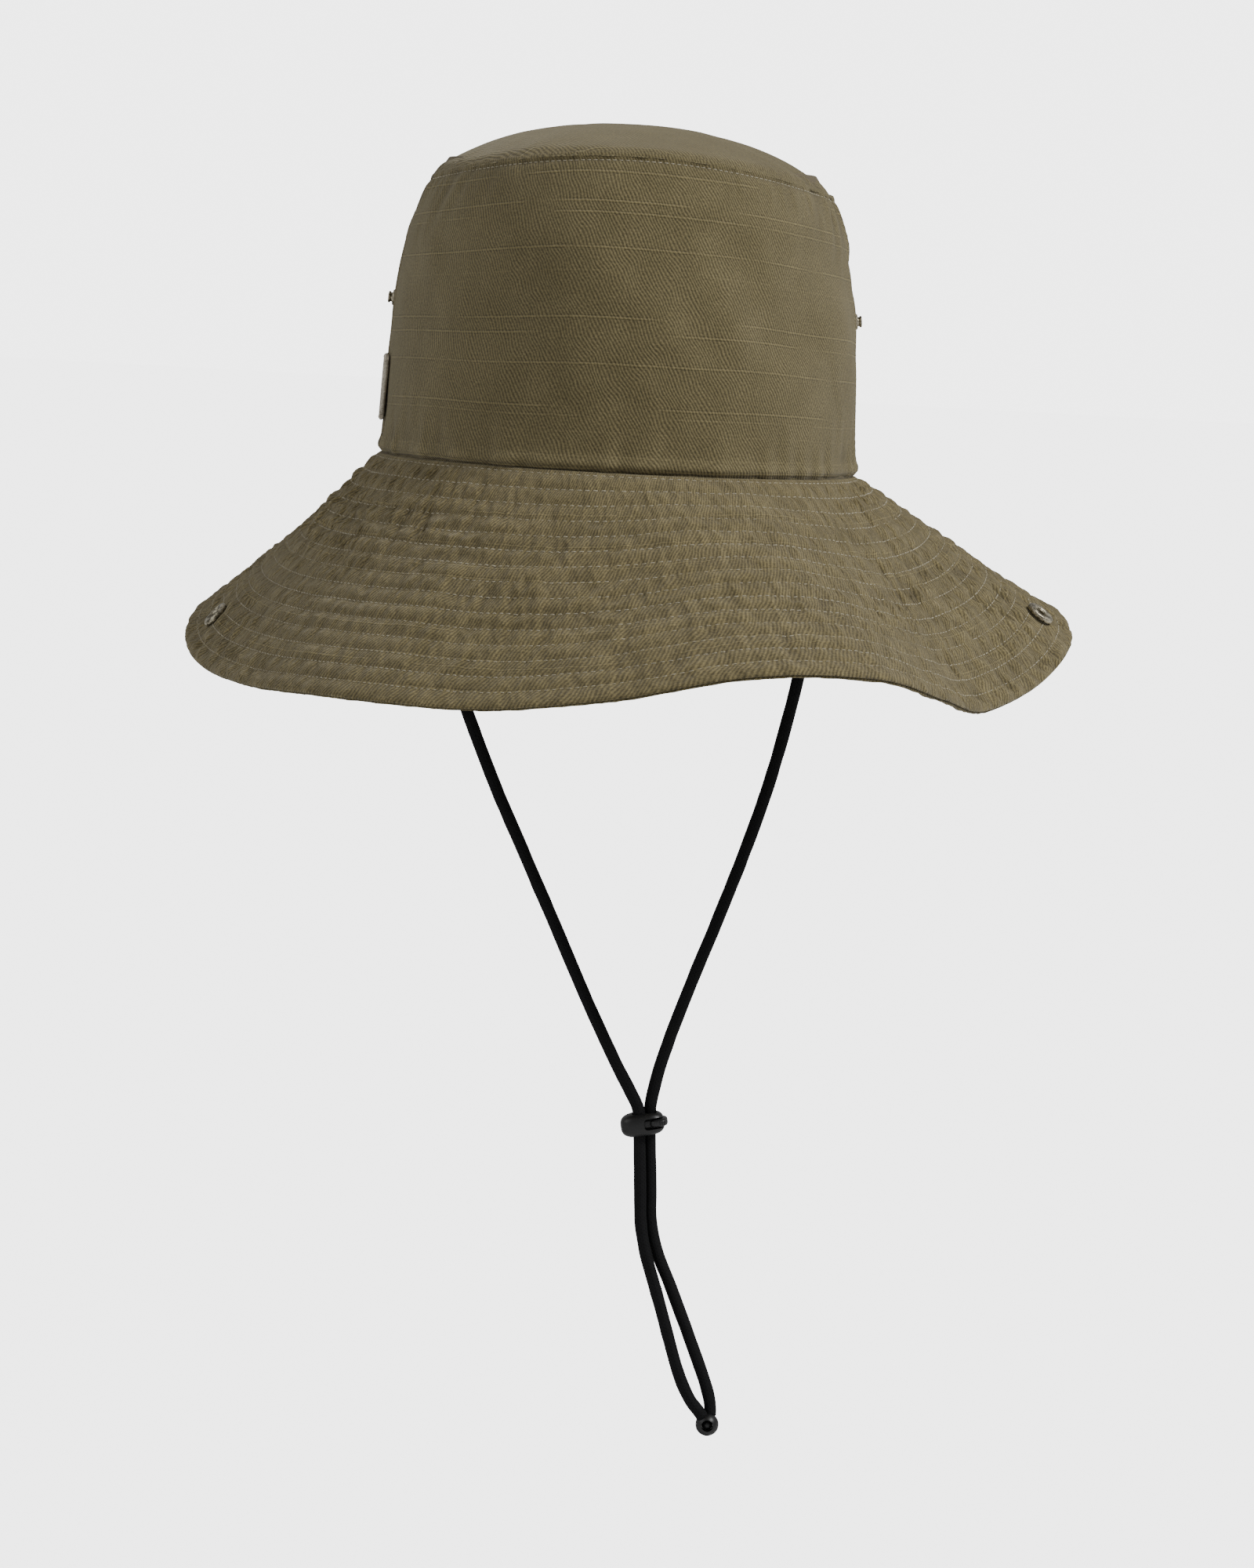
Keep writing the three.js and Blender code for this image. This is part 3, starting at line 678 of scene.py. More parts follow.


# the colour of the painted shade in the olive cloth's hollows
olivePaintedShade = (0.04, 0.031, 0.014, 1)
finishes = {
    "crown": clothMaterial("oliveCrownCloth", (0.098, 0.08, 0.0355, 1), (0.2, 0.167, 0.085, 1), olivePaintedShade,
                           ribAngle=58, slubs=0.5, wear=0.4),
    "brim": clothMaterial("oliveBrimCloth", (0.106, 0.085, 0.037, 1), (0.23, 0.19, 0.1, 1), olivePaintedShade,
                          ribAngle=65, slubs=0.3, wear=0.7, crinkle=7.0),
    "band": clothMaterial("oliveBandTwill", (0.085, 0.067, 0.036, 1), (0.16, 0.13, 0.08, 1), olivePaintedShade,
                          ribAngle=45, slubs=0.1, wear=0.3),
    # third colour: the patch's painted shade in its hollows
    "patch": clothMaterial("beigePatchCloth", (0.4, 0.36, 0.29, 1), (0.6, 0.55, 0.46, 1), (0.2, 0.18, 0.14, 1),
                           ribAngle=70, slubs=0.2),
    "stitch": threadMaterial("oliveThread", (0.4, 0.365, 0.27, 1), (0.17, 0.145, 0.09, 1)),
    "stitchDark": threadMaterial("deepOliveThread", (0.13, 0.105, 0.06, 1), (0.05, 0.04, 0.022, 1)),
    "merrow": threadMaterial("beigeThread", (0.56, 0.52, 0.43, 1), (0.28, 0.25, 0.19, 1)),
    "brass": metalMaterial("antiquedBrass", (0.55, 0.5, 0.38, 1), (0.12, 0.105, 0.07, 1)),
    "steel": metalMaterial("drawnSteel", (0.6, 0.6, 0.6, 1), (0.3, 0.3, 0.3, 1)),
    "plastic": plasticMaterial("satinBlackPlastic", (0.006, 0.006, 0.0063, 1), (0.02, 0.02, 0.021, 1)),
    "button": plasticMaterial("greyBlackPlastic", (0.012, 0.012, 0.0125, 1), (0.03, 0.03, 0.03, 1)),
    "braid": braidMaterial("blackBraid", (0.0022, 0.0022, 0.0024, 1), (0.011, 0.011, 0.012, 1)),
}


def finish(piece, look, slotName, body=None, covers=()):
    piece.data.materials.clear()
    piece.data.materials.append(finishes[look])
    if body:
        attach(piece, body)
    if covers:
        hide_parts(*covers)
    return piece


print("materials")


cord = {
    "diameter": 4.2 * mm,
    "sides": 40,
    "step": 0.32 * mm,
    "strands": 8,               # strands each way round the braid
    "pitch": 11 * mm,           # one strand's full turn
    "relief": 0.12 * mm,
    "swell": 0.1 * mm,          # how much fuller the braid lies than its plain tube
    "lump": 0.09 * mm,
    "endRounding": 1.4 * mm,
}

# from the tab under the brim to the bead, in millimetres
leftRoute = [
    (-79, 0, -10), (-76.6, 0, -20), (-70.6, 0, -38), (-61.6, 0, -60), (-49.4, 0, -90), (-37.2, 0, -118),
    (-25, 0, -143), (-13.2, -0.2, -167), (-1.6, -0.6, -191), (9.8, -1.1, -213), (16.4, -1.3, -224.5),
    (19.9, -1.3, -231.5), (20.5, -1.3, -238), (21.3, -1.3, -249.5), (22.1, -1.3, -261), (22.9, -1.3, -272.5),
    (25.4, -1.4, -284), (29.4, -1.5, -296), (34.6, -1.5, -312), (39.2, -1.5, -326), (43.6, -1.5, -335),
    (47.2, -1.4, -339.6), (49.4, -0.9, -342.4),
]
rightRoute = [
    (79, 0, -10), (77.6, 0, -22), (75, 0, -38), (71.4, 0, -58), (66.6, 0, -84), (60.2, 0, -112),
    (52.2, 0, -139), (43.8, 0.2, -164), (35, 0.6, -189), (27.8, 1.1, -212), (25, 1.3, -224.5),
    (24.1, 1.3, -231.5), (24.3, 1.3, -238), (25.1, 1.3, -249.5), (25.9, 1.3, -261), (26.7, 1.3, -272.5),
    (29.8, 1.4, -284), (35.2, 1.5, -296), (42, 1.5, -312), (47.4, 1.5, -325), (50.6, 1.5, -334),
    (51.6, 1.4, -339.6), (51.5, 0.9, -342.2),
]


def smoothLine(points, step):
    # a smooth line through the points, with even steps
    points = np.array(points, float)
    ends = np.vstack([2 * points[0] - points[1], points, 2 * points[-1] - points[-2]])
    line = []
    for i in range(1, len(ends) - 2):
        line += [curveThrough(*ends[i - 1:i + 3], t) for t in np.linspace(0, 1, 24, endpoint=False)]
    line.append(points[-1])
    line = np.array(line)
    run = np.concatenate([[0], np.cumsum(np.linalg.norm(np.diff(line, axis=0), axis=1))])
    even = np.linspace(0, run[-1], int(run[-1] / step) + 1)
    return np.stack([np.interp(even, run, line[:, axis]) for axis in range(3)], 1), even


def braidHeight(turn, along):
    # strands that cross over and under one another, 0 in the gaps to 1 on top
    a = cord["strands"] * (turn / fullTurn + along / cord["pitch"])
    b = cord["strands"] * (turn / fullTurn - along / cord["pitch"])
    over = 0.5 + 0.5 * np.sin(math.pi * (a - b)) * np.sin(math.pi * (a + b))
    first = np.abs(np.sin(math.pi * a)) ** 0.6
    second = np.abs(np.sin(math.pi * b)) ** 0.6
    return np.maximum(first * (0.45 + 0.55 * over), second * (1 - 0.55 * over))


def cordStrand(name, route, seed):
    line, along = smoothLine(np.array(route) * mm, cord["step"])
    ahead = unit(np.gradient(line, axis=0))
    side = np.tile([0.0, 1.0, 0.0], (len(line), 1))
    side = unit(side - ahead * np.sum(side * ahead, 1)[:, None])
    across = np.cross(ahead, side)
    sides = cord["sides"]
    turn, alongGrid = np.meshgrid(np.linspace(0, fullTurn, sides, endpoint=False), along)
    height = braidHeight(turn, alongGrid)
    lump = cord["lump"] * smoothNoise(alongGrid / (5 * mm), turn, seed)
    radius = cord["diameter"] / 2 + cord["swell"] + cord["relief"] * (height - 0.65) + lump
    # both ends are rounded off
    cap = np.clip(np.minimum(along, along[-1] - along) / cord["endRounding"], 0, 1)
    radius = radius * np.sqrt(np.clip(1 - (1 - cap) ** 2, 0.04, 1))[:, None]
    points = line[:, None, :] + radius[:, :, None] * (np.cos(turn)[:, :, None] * across[:, None, :]
                                                      + np.sin(turn)[:, :, None] * side[:, None, :])
    uv = np.stack([turn.ravel() * cord["diameter"] / 2, alongGrid.ravel()], 1)
    piece = newMesh(name, points.reshape(-1, 3), tubeFaces(len(line), sides), uv, {"relief": height.ravel()})
    return settle(piece, 60), float(along[-1])


strands = []
for side, route, seed in (("left", leftRoute, 71), ("right", rightRoute, 72)):
    strand, length = cordStrand("cord_strand_" + side, route, seed)
    finish(strand, "braid", "cord_braid", "chin_cord", ["chin_cord_" + side])
    strands.append((strand, length, route))
print("cords")


lock = {
    "centre": Vector((22.3, 0, -236.4)) * mm,
    "tilt": 11,
    "bodyStart": -8.6 * mm, "bodyEnd": 7.3 * mm, "depth": 11.8 * mm, "height": 8.9 * mm,
    "plungerStart": -5.45 * mm, "plungerEnd": 8.5 * mm, "plungerDepth": 8.7 * mm, "plungerHeight": 3.4 * mm,
    "channelStart": -6.9 * mm, "slotStart": -0.1 * mm,
    "headStart": 1.4 * mm, "headDepth": 11.2 * mm,      # the part a thumb presses
    "pocketStart": -7.35 * mm, "pocketSide": 3.4 * mm,  # where the spring sits
    "boreLength": 8.9 * mm, "boreDepth": 7.7 * mm, "strandLean": 4,
    "grooves": 3, "groovePitch": 0.8 * mm, "grooveWidth": 0.3 * mm,
}
pastAll = 30 * mm       # long enough for a cutter to pass right through the lock


def addBox(name, size, centre=(0, 0, 0)):
    deselected()
    bpy.ops.mesh.primitive_cube_add(size=1, location=centre)
    piece = bpy.context.object
    piece.name = name
    piece.scale = size
    return placed(piece)


def boxFrom(name, start, length, depth, height, rounding):
    box = addBox(name, (length, depth, height), (start + length / 2, 0, 0))
    bevelled(box, rounding)
    return box


def bevelled(piece, width, segments=4):
    modifier = piece.modifiers.new("rounded", "BEVEL")
    modifier.width = width
    modifier.segments = segments
    modifier.limit_method = "ANGLE"
    modifier.angle_limit = math.radians(30)
    applyModifiers(piece)


def combine(piece, tool, operation="DIFFERENCE"):
    modifier = piece.modifiers.new("combined", "BOOLEAN")
    modifier.operation = operation
    modifier.solver = "EXACT"
    modifier.object = tool
    applyModifiers(piece)
    bpy.data.objects.remove(tool, do_unlink=True)


def turnAbout(piece, degrees):
    selectOnly(piece)
    piece.rotation_euler = (0, math.radians(degrees), 0)
    bpy.ops.object.transform_apply(location=False, rotation=True, scale=False)


def onLock(piece):
    turnAbout(piece, -lock["tilt"])
    piece.location = lock["centre"]
    return settle(piece, 35)


def eggBlock(name, size, centre, shape):
    # a rounded block: a sphere pushed outwards to its box's sides by a super-ellipsoid's powers
    deselected()
    bpy.ops.mesh.primitive_uv_sphere_add(segments=64, ring_count=32, radius=1)
    piece = bpy.context.object
    piece.name = name
    for vertex in piece.data.vertices:
        way = Vector(vertex.co)
        reach = sum(abs(c) ** shape for c in way) ** (-1 / shape)
        vertex.co = Vector([way[i] * reach * size[i] / 2 + centre[i] for i in range(3)])
    return piece


def strandBore(extraLength):
    size = (lock["boreLength"] + extraLength, lock["boreDepth"], pastAll)
    bore = addBox("bore", size, (extraLength / 2, 0, 0))
    bevelled(bore, 1.6 * mm)
    turnAbout(bore, lock["tilt"] - lock["strandLean"])
    return bore


def eggFrom(name, start, end, depth, height, shape):
    return eggBlock(name, (end - start, depth, height), ((start + end) / 2, 0, 0), shape)


def makeLock():
    body = eggFrom("lock_body", lock["bodyStart"], lock["bodyEnd"], lock["depth"], lock["height"], 3)
    channelHeight = lock["plungerHeight"] + 0.5 * mm
    combine(body, boxFrom("channel", lock["channelStart"], 20 * mm, lock["plungerDepth"] + 0.4 * mm, channelHeight,
                          1.2 * mm))
    combine(body, boxFrom("pocket", lock["pocketStart"], 5 * mm, lock["pocketSide"], lock["pocketSide"], 0.5 * mm))
    combine(body, boxFrom("slot", lock["slotStart"], 20 * mm, 20 * mm, channelHeight, 1.2 * mm))
    combine(body, strandBore(0))
    bevelled(body, 0.25 * mm, 2)
    finish(onLock(body), "plastic", "lock_plastic", "cord_lock", ["cord_lock_body"])

    end, height = lock["plungerEnd"], lock["plungerHeight"]
    plunger = eggFrom("lock_button", lock["plungerStart"], end - 1 * mm, lock["plungerDepth"], height, 6)
    combine(plunger, eggFrom("head", lock["headStart"], end, lock["headDepth"], height, 3.2), "UNION")
    # grip grooves round the head, each as deep all round as the head narrows
    for step in range(lock["grooves"]):
        x = end - 1.3 * mm - step * lock["groovePitch"]
        groove = addBox("groove", (lock["grooveWidth"], pastAll, pastAll), (x, 0, 0))
        inside = lock["headDepth"] - (1.6 - 0.35 * step) * mm
        combine(groove, addBox("core", (1 * mm, inside, height - 0.7 * mm), (x, 0, 0)))
        combine(plunger, groove)
    combine(plunger, strandBore(1.2 * mm))
    bevelled(plunger, 0.14 * mm, 2)
    finish(onLock(plunger), "button", "lock_plastic", "lock_button", ["cord_lock_plunger"])


spring = {"start": -7.2 * mm, "end": -5.6 * mm, "radius": 1.2 * mm, "wire": 0.15 * mm, "turns": 3.5,
          "pressed": 0.25,      # its share of its length when the button is in
          "steps": 150, "sides": 10}


def makeSpring():
    # its end turns lie close together, as on a ground coil spring
    share = np.linspace(0, 1, spring["steps"])[:, None]
    turn = share * spring["turns"] * fullTurn
    low, high = spring["start"] + spring["wire"], spring["end"] - spring["wire"]
    along = low + (high - low) * (share - 0.1 * np.sin(fullTurn * share))
    around = np.arange(spring["sides"]) / spring["sides"] * fullTurn
    reach = spring["radius"] + spring["wire"] * np.cos(around)
    points = np.stack([along + spring["wire"] * np.sin(around), reach * np.cos(turn), reach * np.sin(turn)], -1)
    coil = onLock(newMesh("lock_spring", points.reshape(-1, 3), tubeFaces(spring["steps"], spring["sides"])))
    finish(coil, "steel", "spring_steel", "cord_lock", ["cord_lock_spring"])
    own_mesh(coil)


beadSizes = {"hole": 2.1 * mm, "edge": 0.35 * mm, "knot": 1.95 * mm, "knotLength": 1.55}


def makeBead():
    low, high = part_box("cord_end_bead")
    radius = (high.x - low.x) / 2
    deselected()
    bpy.ops.mesh.primitive_uv_sphere_add(segments=64, ring_count=48, radius=radius, rotation=(math.pi / 2, 0, 0))
    bead = placed(bpy.context.object)
    bead.name = "end_bead"
    deselected()
    bpy.ops.mesh.primitive_cylinder_add(vertices=48, radius=beadSizes["hole"], depth=3 * radius,
                                        rotation=(math.pi / 2, 0, 0))
    combine(bead, placed(bpy.context.object))
    bevelled(bead, beadSizes["edge"], 4)
    # the knot inside that stops the strands
    deselected()
    bpy.ops.mesh.primitive_uv_sphere_add(segments=40, ring_count=24, radius=beadSizes["knot"])
    knot = bpy.context.object
    knot.name = "bead_knot"
    for vertex in knot.data.vertices:
        way = Vector(vertex.co).normalized()
        turn = math.atan2(way.z, way.x)
        vertex.co = vertex.co * (1 + 0.07 * math.sin(5 * turn + 9 * way.y) * (1 - way.y ** 2))
        vertex.co.y *= beadSizes["knotLength"]
    bead.location = knot.location = (low + high) / 2
    finish(settle(bead, 35), "plastic", "lock_plastic", "chin_cord", ["cord_end_bead"])
    finish(settle(knot, 80), "button", "cord_braid", "chin_cord")
    return bead, knot


makeLock()
makeSpring()
for (strand, length, route), end in zip(strands, makeBead()):
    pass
print("lock and bead")


def seamLap(angle):
    # the side seams: a groove, with the front panel lapped a little over the turned edge
    arc = fromSide(angle)
    front = np.where(np.sin(angle) < 0, 1.0, 0.0)
    lap = 0.55 * mm * (1 - smoothStep(arc, 5.4 * mm, 7.4 * mm)) * front
    rows = -0.3 * mm * sum(hump(arc, row, 0.5 * mm) for row in crown["seamRows"]) * front
    return lap + rows - 0.35 * mm * hump(arc, 0, 0.8 * mm)


def crownPlace(angle, distance, depth):
    share = distance / crown["sideHeight"]
    height = share * tipSeamHeight(angle)
    inside = np.clip(share, 0, 1)
    outer = np.clip(1 - depth / crown["cloth"], 0, 1)
    relief, slow = wallRelief(angle, height)
    relief = (relief + seamLap(angle)) * outer
    points = wallPoint(angle, inside, depth - relief - slow)
    points[:, 2] += height - inside * tipSeamHeight(angle)
    # the relief also sets the cloth's colour: painted shade in the hollows and in the hem's crease
    return points, relief / (0.9 * mm)


def wallRows(count):
    # heights up the wall, closer together at the hem and under the tip
    share = np.linspace(0, 1, count)
    return share - 0.06 * np.sin(fullTurn * share)


def crownSection():
    low, high = -crown["hemTurn"], crown["sideHeight"]
    outer = [(low + (high - low) * share, 0.0) for share in wallRows(150)]
    inner = [(high - (high - low) * step / 24, crown["cloth"]) for step in range(25)]
    return outer + [(high + 0.35 * mm, 0.5 * mm)] + inner + [(low - 0.35 * mm, 0.5 * mm)]


def stitchRun(place, line, length, pitch, radius, lift, phase=0.0):
    # stitches along a line: line(s) gives a surface coordinate at s, place turns those into points
    whole, spots = line
    starts = np.arange(phase * pitch, whole - length, pitch)
    # along each stitch: where its rings are, how far each one is lifted and how thick it is
    stations = np.array([0, 0.12, 0.5, 0.88, 1.0])
    rise = np.array([-1.0, 0.45, 1.0, 0.45, -1.0]) * lift
    thick = np.array([0.45, 0.95, 1.0, 0.95, 0.45]) * radius
    along = (starts[:, None] + stations * length).ravel()
    centre = place(spots(along))
    ahead = unit(place(spots(along + 0.2 * mm)) - centre)
    above = place(spots(along), 0.2 * mm) - centre
    above = unit(above - ahead * np.sum(above * ahead, 1)[:, None])
    beside = np.cross(ahead, above)
    lifted, size = (np.tile(values, len(starts))[:, None, None] for values in (rise, thick))
    turn = np.arange(stitchSides) / stitchSides * fullTurn
    ring = np.cos(turn)[:, None] * beside[:, None, :] + np.sin(turn)[:, None] * above[:, None, :]
    points = centre[:, None, :] + above[:, None, :] * lifted + ring * size
    faces = []
    for first in range(len(starts)):
        faces += tubeFaces(len(stations), stitchSides, first * len(stations) * stitchSides)
    return points.reshape(-1, 3), faces


def sew(place, line, kind):
    return stitchRun(place, line, *(size * mm for size in stitches[kind]))


def sewn(name, runs):
    # one object from several runs of stitches
    points, faces, offset = [], [], 0
    for runPoints, runFaces in runs:
        points.append(runPoints)
        faces += [tuple(corner + offset for corner in face) for face in runFaces]
        offset += len(runPoints)
    return settle(newMesh(name, np.concatenate(points), faces), 60)


def aroundLine(start, end, across):
    # a line round the hat at a fixed second coordinate, with its length at the base seam
    fine = np.linspace(start, end, 3000)
    arcs = arcAt(fine) - arcAt(np.array(start))

    def spots(along):
        return np.interp(along, arcs, fine), np.full_like(along, across)
    return float(arcs[-1]), spots


def straightLine(angle, start, length):
    # a line straight up the wall
    def spots(along):
        return np.full_like(along, angle), along + start
    return length, spots


def wallSpot(spot, above=0.0):
    angle, distance = spot
    return crownPlace(angle, distance, np.zeros_like(angle) - above)[0]


def tipPlace(angle, share, depth):
    rim = wallPoint(angle, np.ones_like(angle), 0)
    doming = 1 - np.clip(share, 0, 1) ** crown["tipPower"]
    top = crown["peak"] - crown["cloth"]
    height = rim[:, 2] + (top - rim[:, 2]) * doming + crown["tipLift"] + crown["cloth"]
    radius = share * (crown["halfWidth"] + crown["halfDepth"]) / 2
    toRim = (1 - share) * 80 * mm
    corner = 0.4 + 0.6 * np.cos(angle) ** 4
    outer = np.clip(1 - depth / crown["cloth"], 0, 1)
    relief = wrinkle("tipGathers", angle, toRim) * hump(toRim, 3 * mm, 8 * mm) * corner
    relief += wrinkle("tipFolds", angle, toRim) * hump(toRim, 8 * mm, 14 * mm) * np.cos(angle) ** 4
    flatX, flatY = radius * np.cos(angle), radius * np.sin(angle)
    slow = sum(high * mm * smoothNoise(flatX / (cell * mm) + 9, flatY / (cell * mm) + 9, seed)
               for high, cell, seed in ((0.9, 38, 63), (0.3, 14, 64)))
    edge = -1.9 * mm * hump(toRim, -0.3 * mm, 2.3 * mm)
    spread = 1 + (0.1 * mm + 0.15 * mm * roundNoise(angle, 2.6 * mm, 0, 65)) / (80 * mm) * smoothStep(share, 0.9, 1)
    points = np.stack([rim[:, 0] * share * spread, rim[:, 1] * share * spread,
                       height + (relief + slow) * outer * 0.8 + edge - depth], -1)
    # the relief also sets the cloth's colour: painted shade in the gathers' hollows
    return points, relief * outer / (0.9 * mm)


def makeTip():
    columns, rows, middle = 560, 74, 0.015
    angles = evenAngles(0, fullTurn, columns + 1)[:-1]
    # rings closer together near the seam
    shares = np.interp(np.linspace(0, 1, rows), [0, 0.55, 1], [middle, 0.78, 1])
    profile = [(share, 0.0) for share in shares] + [(1.006, 0.5 * mm)]
    profile += [(share, crown["cloth"]) for share in np.linspace(1, middle, 18)]
    count = len(profile)
    share, depth = (np.tile(values, columns) for values in zip(*profile))
    points, relief = tipPlace(np.repeat(angles, count), share, depth)
    faces = gridFaces(columns, count, True, False)
    # both faces close on a point in the middle
    poles = [tipPlace(np.zeros(1), np.zeros(1), np.array([depth]))[0] for depth in (0.0, crown["cloth"])]
    top, bottom = len(points), len(points) + 1
    points = np.concatenate([points] + poles)
    for column in range(columns):
        following = (column + 1) % columns
        faces.append((column * count, top, following * count))
        faces.append((following * count + count - 1, bottom, column * count + count - 1))
    values = {"relief": np.concatenate([relief, [0, 0]])}
    piece = settle(newMesh("crown_tip_cloth", points, faces, points[:, [0, 1]] + 0.5, values), 60)
    finish(piece, "crown", "crown_cloth", "crown", ["crown_tip"])


def makeCrown():
    halfGap = crown["panelGap"] / crown["halfDepth"]
    for name, start in (("front", math.pi), ("back", 0.0)):
        angles = evenAngles(start + halfGap, start + math.pi - halfGap, 430)
        panel = clothSheet(f"crown_{name}_cloth", angles, crownSection(), crownPlace, arcAt(angles))
        finish(settle(panel, 60), "crown", "crown_cloth", "crown", [f"crown_{name}_panel"])
    makeTip()
    row = aroundLine(0, fullTurn, crown["sideHeight"] - crown["tipRow"])
    finish(sewn("tip_stitches", [sew(wallSpot, row, "tip")]), "stitch", "crown_cloth", "crown")
    runs = []
    for side, forward in ((0.0, -1), (math.pi, 1)):
        for away in crown["seamRows"]:
            line = straightLine(side + forward * away / crown["halfDepth"], 2 * mm, crown["sideHeight"] - 7 * mm)
            runs.append(sew(wallSpot, line, "seam"))
    finish(sewn("side_seam_stitches", runs), "stitchDark", "crown_cloth", "crown")
    print("crown")


def brimHalf(side, start):
    # the brim bends from its seam to as far on the other side of the fold line
    angles = {columns: evenAngles(start, start + math.pi, columns) for columns in (640, 510, 180)}

    def layer(name, columns, profile, place, shift, look, slotName, node):
        across = arcAt(angles[columns]) * (1.45 if look == "brim" else 1) + shift
        piece = clothSheet(name + side, angles[columns], profile, place, across)
        return finish(settle(piece, 70), look, slotName,
                      covers=[f"brim_{node}_{part}" for part in ("centre", side + "_side")])

    thick, tuck = brim["layer"], brim["tuck"]
    below = [(distance, thick - depth) for distance, depth in section(brim["width"], 94, thick, 12, start=-tuck)]
    stiff = section(brim["width"] - 3 * mm, 24, 0.3 * mm, 24, start=0.6 * mm)
    pieces = [
        layer("brim_top_", 640, section(brim["width"], 112, thick, 14, start=-tuck), brimTop, 0, "brim", "brim_cloth",
              "upper"),
        layer("brim_under_", 510, below, brimBottom, 7, "brim", "brim_cloth", "under"),
        layer("brim_stiffener_", 180, stiff, stiffenerPlace, 0, "band", "interlining", "interlining")]
    for name, spot, shift in (("top_", topSpot, 0), ("under_", underSpot, 0.5)):
        runs = []
        for row in range(brim["rows"]):
            distance = brim["firstRow"] + row * brim["rowPitch"]
            # lengths are at the base seam, and the brim spreads from there
            spread = 1 + distance / (93 * mm)
            line = aroundLine(start, start + math.pi, distance)
            runs.append(stitchRun(spot, line, thread["length"] / spread, thread["pitch"] / spread,
                                  thread["radius"], thread["lift"], (0.37 * row + shift) % 1))
        pieces.append(finish(sewn("brim_stitches_" + name + side, runs), "stitch", "brim_cloth"))
    for piece in pieces:
        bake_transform(piece)


def stiffenerPlace(angle, distance, depth):
    slow = brimRelief(angle, distance, 11)[1]
    return brimPoint(angle, distance, brim["layer"] + 0.05 * mm + depth - slow), 0 * angle


def topSpot(spot, above=0.0):
    angle, distance = spot
    return brimTop(angle, distance, np.zeros_like(angle) - above)[0]


def underSpot(spot, above=0.0):
    angle, distance = spot
    return brimBottom(angle, distance, np.zeros_like(angle) + brim["layer"] + above)[0]


def makeBrim():
    brimHalf("right", -math.pi / 2)
    brimHalf("left", math.pi / 2)
    print("brim")


lining = {"drop": 0.4 * mm, "clear": 1.5 * mm, "band": 1.8 * mm, "tape": 0.6 * mm}


def liningPlace(low, thickness, seed, puff):
    def place(angle, distance, depth):
        height = low + distance
        inner = np.clip(depth / thickness, 0, 1)
        wave = puff * roundNoise(angle, 14 * mm, distance / (18 * mm), seed)
        wave += 0.5 * puff * roundNoise(angle, 3.5 * mm, distance / (9 * mm), seed + 1)
        points = wallPoint(angle, height / crown["sideHeight"], lining["clear"] + depth + wave * inner)
        points[:, 2] = height
        return points, wave * inner / (0.8 * mm)
    return place


def liningPiece(name, node, low, high, thickness, seed, puff, angles, columnsRound, rows):
    profile = section(high - low, 6, thickness, rows)
    place = liningPlace(low, thickness, seed, puff)
    piece = clothSheet(name, angles, profile, place, arcAt(angles), roundHat=columnsRound)
    finish(settle(piece, 60), "band", "band_cloth", "crown", [node])
    return place


def makeLining():
    low, high = -brim["seamDrop"] - lining["drop"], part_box("sweatband")[1].z
    turnAngles = evenAngles(0, fullTurn, 521)[:-1]
    band = liningPiece("sweatband_cloth", "sweatband", low, high, lining["band"], 81, 0.35 * mm, turnAngles, True, 40)
    tapeLow, tapeHigh = (corner.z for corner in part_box("tip_seam_tape"))
    tape = liningPiece("tip_tape_cloth", "tip_seam_tape", tapeLow, tapeHigh, lining["tape"], 83, 0.15 * mm,
                       turnAngles, True, 14)

    def inner(place, thickness):
        def spot(where, above=0.0):
            angle, distance = where
            return place(angle, distance, np.zeros_like(angle) + thickness + above)[0]
        return spot
    runs = []
    for place, kind, rows in ((band, "band", (2.4 * mm, high - low - 2.2 * mm)),
                              (tape, "tape", (1.5 * mm, tapeHigh - tapeLow - 1.5 * mm))):
        runs += [sew(inner(place, lining[kind]), aroundLine(0, fullTurn, row), kind) for row in rows]
    for side, angle in (("right", 0.0), ("left", math.pi)):
        node = side + "_side_seam_tape"
        lowCorner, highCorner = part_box(node)
        half = (highCorner.y - lowCorner.y) / 2 / crown["halfDepth"]
        angles = np.linspace(angle - half, angle + half, 26)
        place = liningPiece(side + "_seam_tape_cloth", node, lowCorner.z, highCorner.z, lining["tape"], 85,
                            0.1 * mm, angles, False, 60)
        for part in (-0.72, 0.72):
            line = straightLine(angle + half * part, 0, highCorner.z - lowCorner.z)
            runs.append(sew(inner(place, lining["tape"]), line, "tape"))
    finish(sewn("lining_stitches", runs), "stitchDark", "band_cloth", "crown")
    print("lining")


snap = {
    "studHeight": 54 * mm,
    "studProfile": [(2.8, 0), (2.8, 0.45), (2.55, 0.7), (1.7, 0.78), (1.6, 1.3), (1.95, 1.45), (2.1, 1.75),
                    (2.02, 2.05), (1.7, 2.24), (1.1, 2.3), (0.75, 2.16), (0.4, 2.1)],
    "backProfile": [(1.0, 0), (1.0, -0.55), (1.2, -0.82), (1.7, -0.9), (3.6, -0.9), (4.05, -0.78),
                    (4.4, -0.4), (4.4, 0)],
    "ringProfile": [(2.35, 0), (5.2, 0), (5.2, 0.75), (5.0, 1.25), (4.5, 1.6), (3.9, 1.7), (3.3, 1.6),
                    (2.95, 1.3), (2.7, 1.25), (2.5, 1.1), (2.35, 0.8)],
    "studLift": 0.3 * mm, "studDepth": 2.6 * mm,        # from the wall's face, outwards and inwards
    "gap": 0.6 * mm,
}


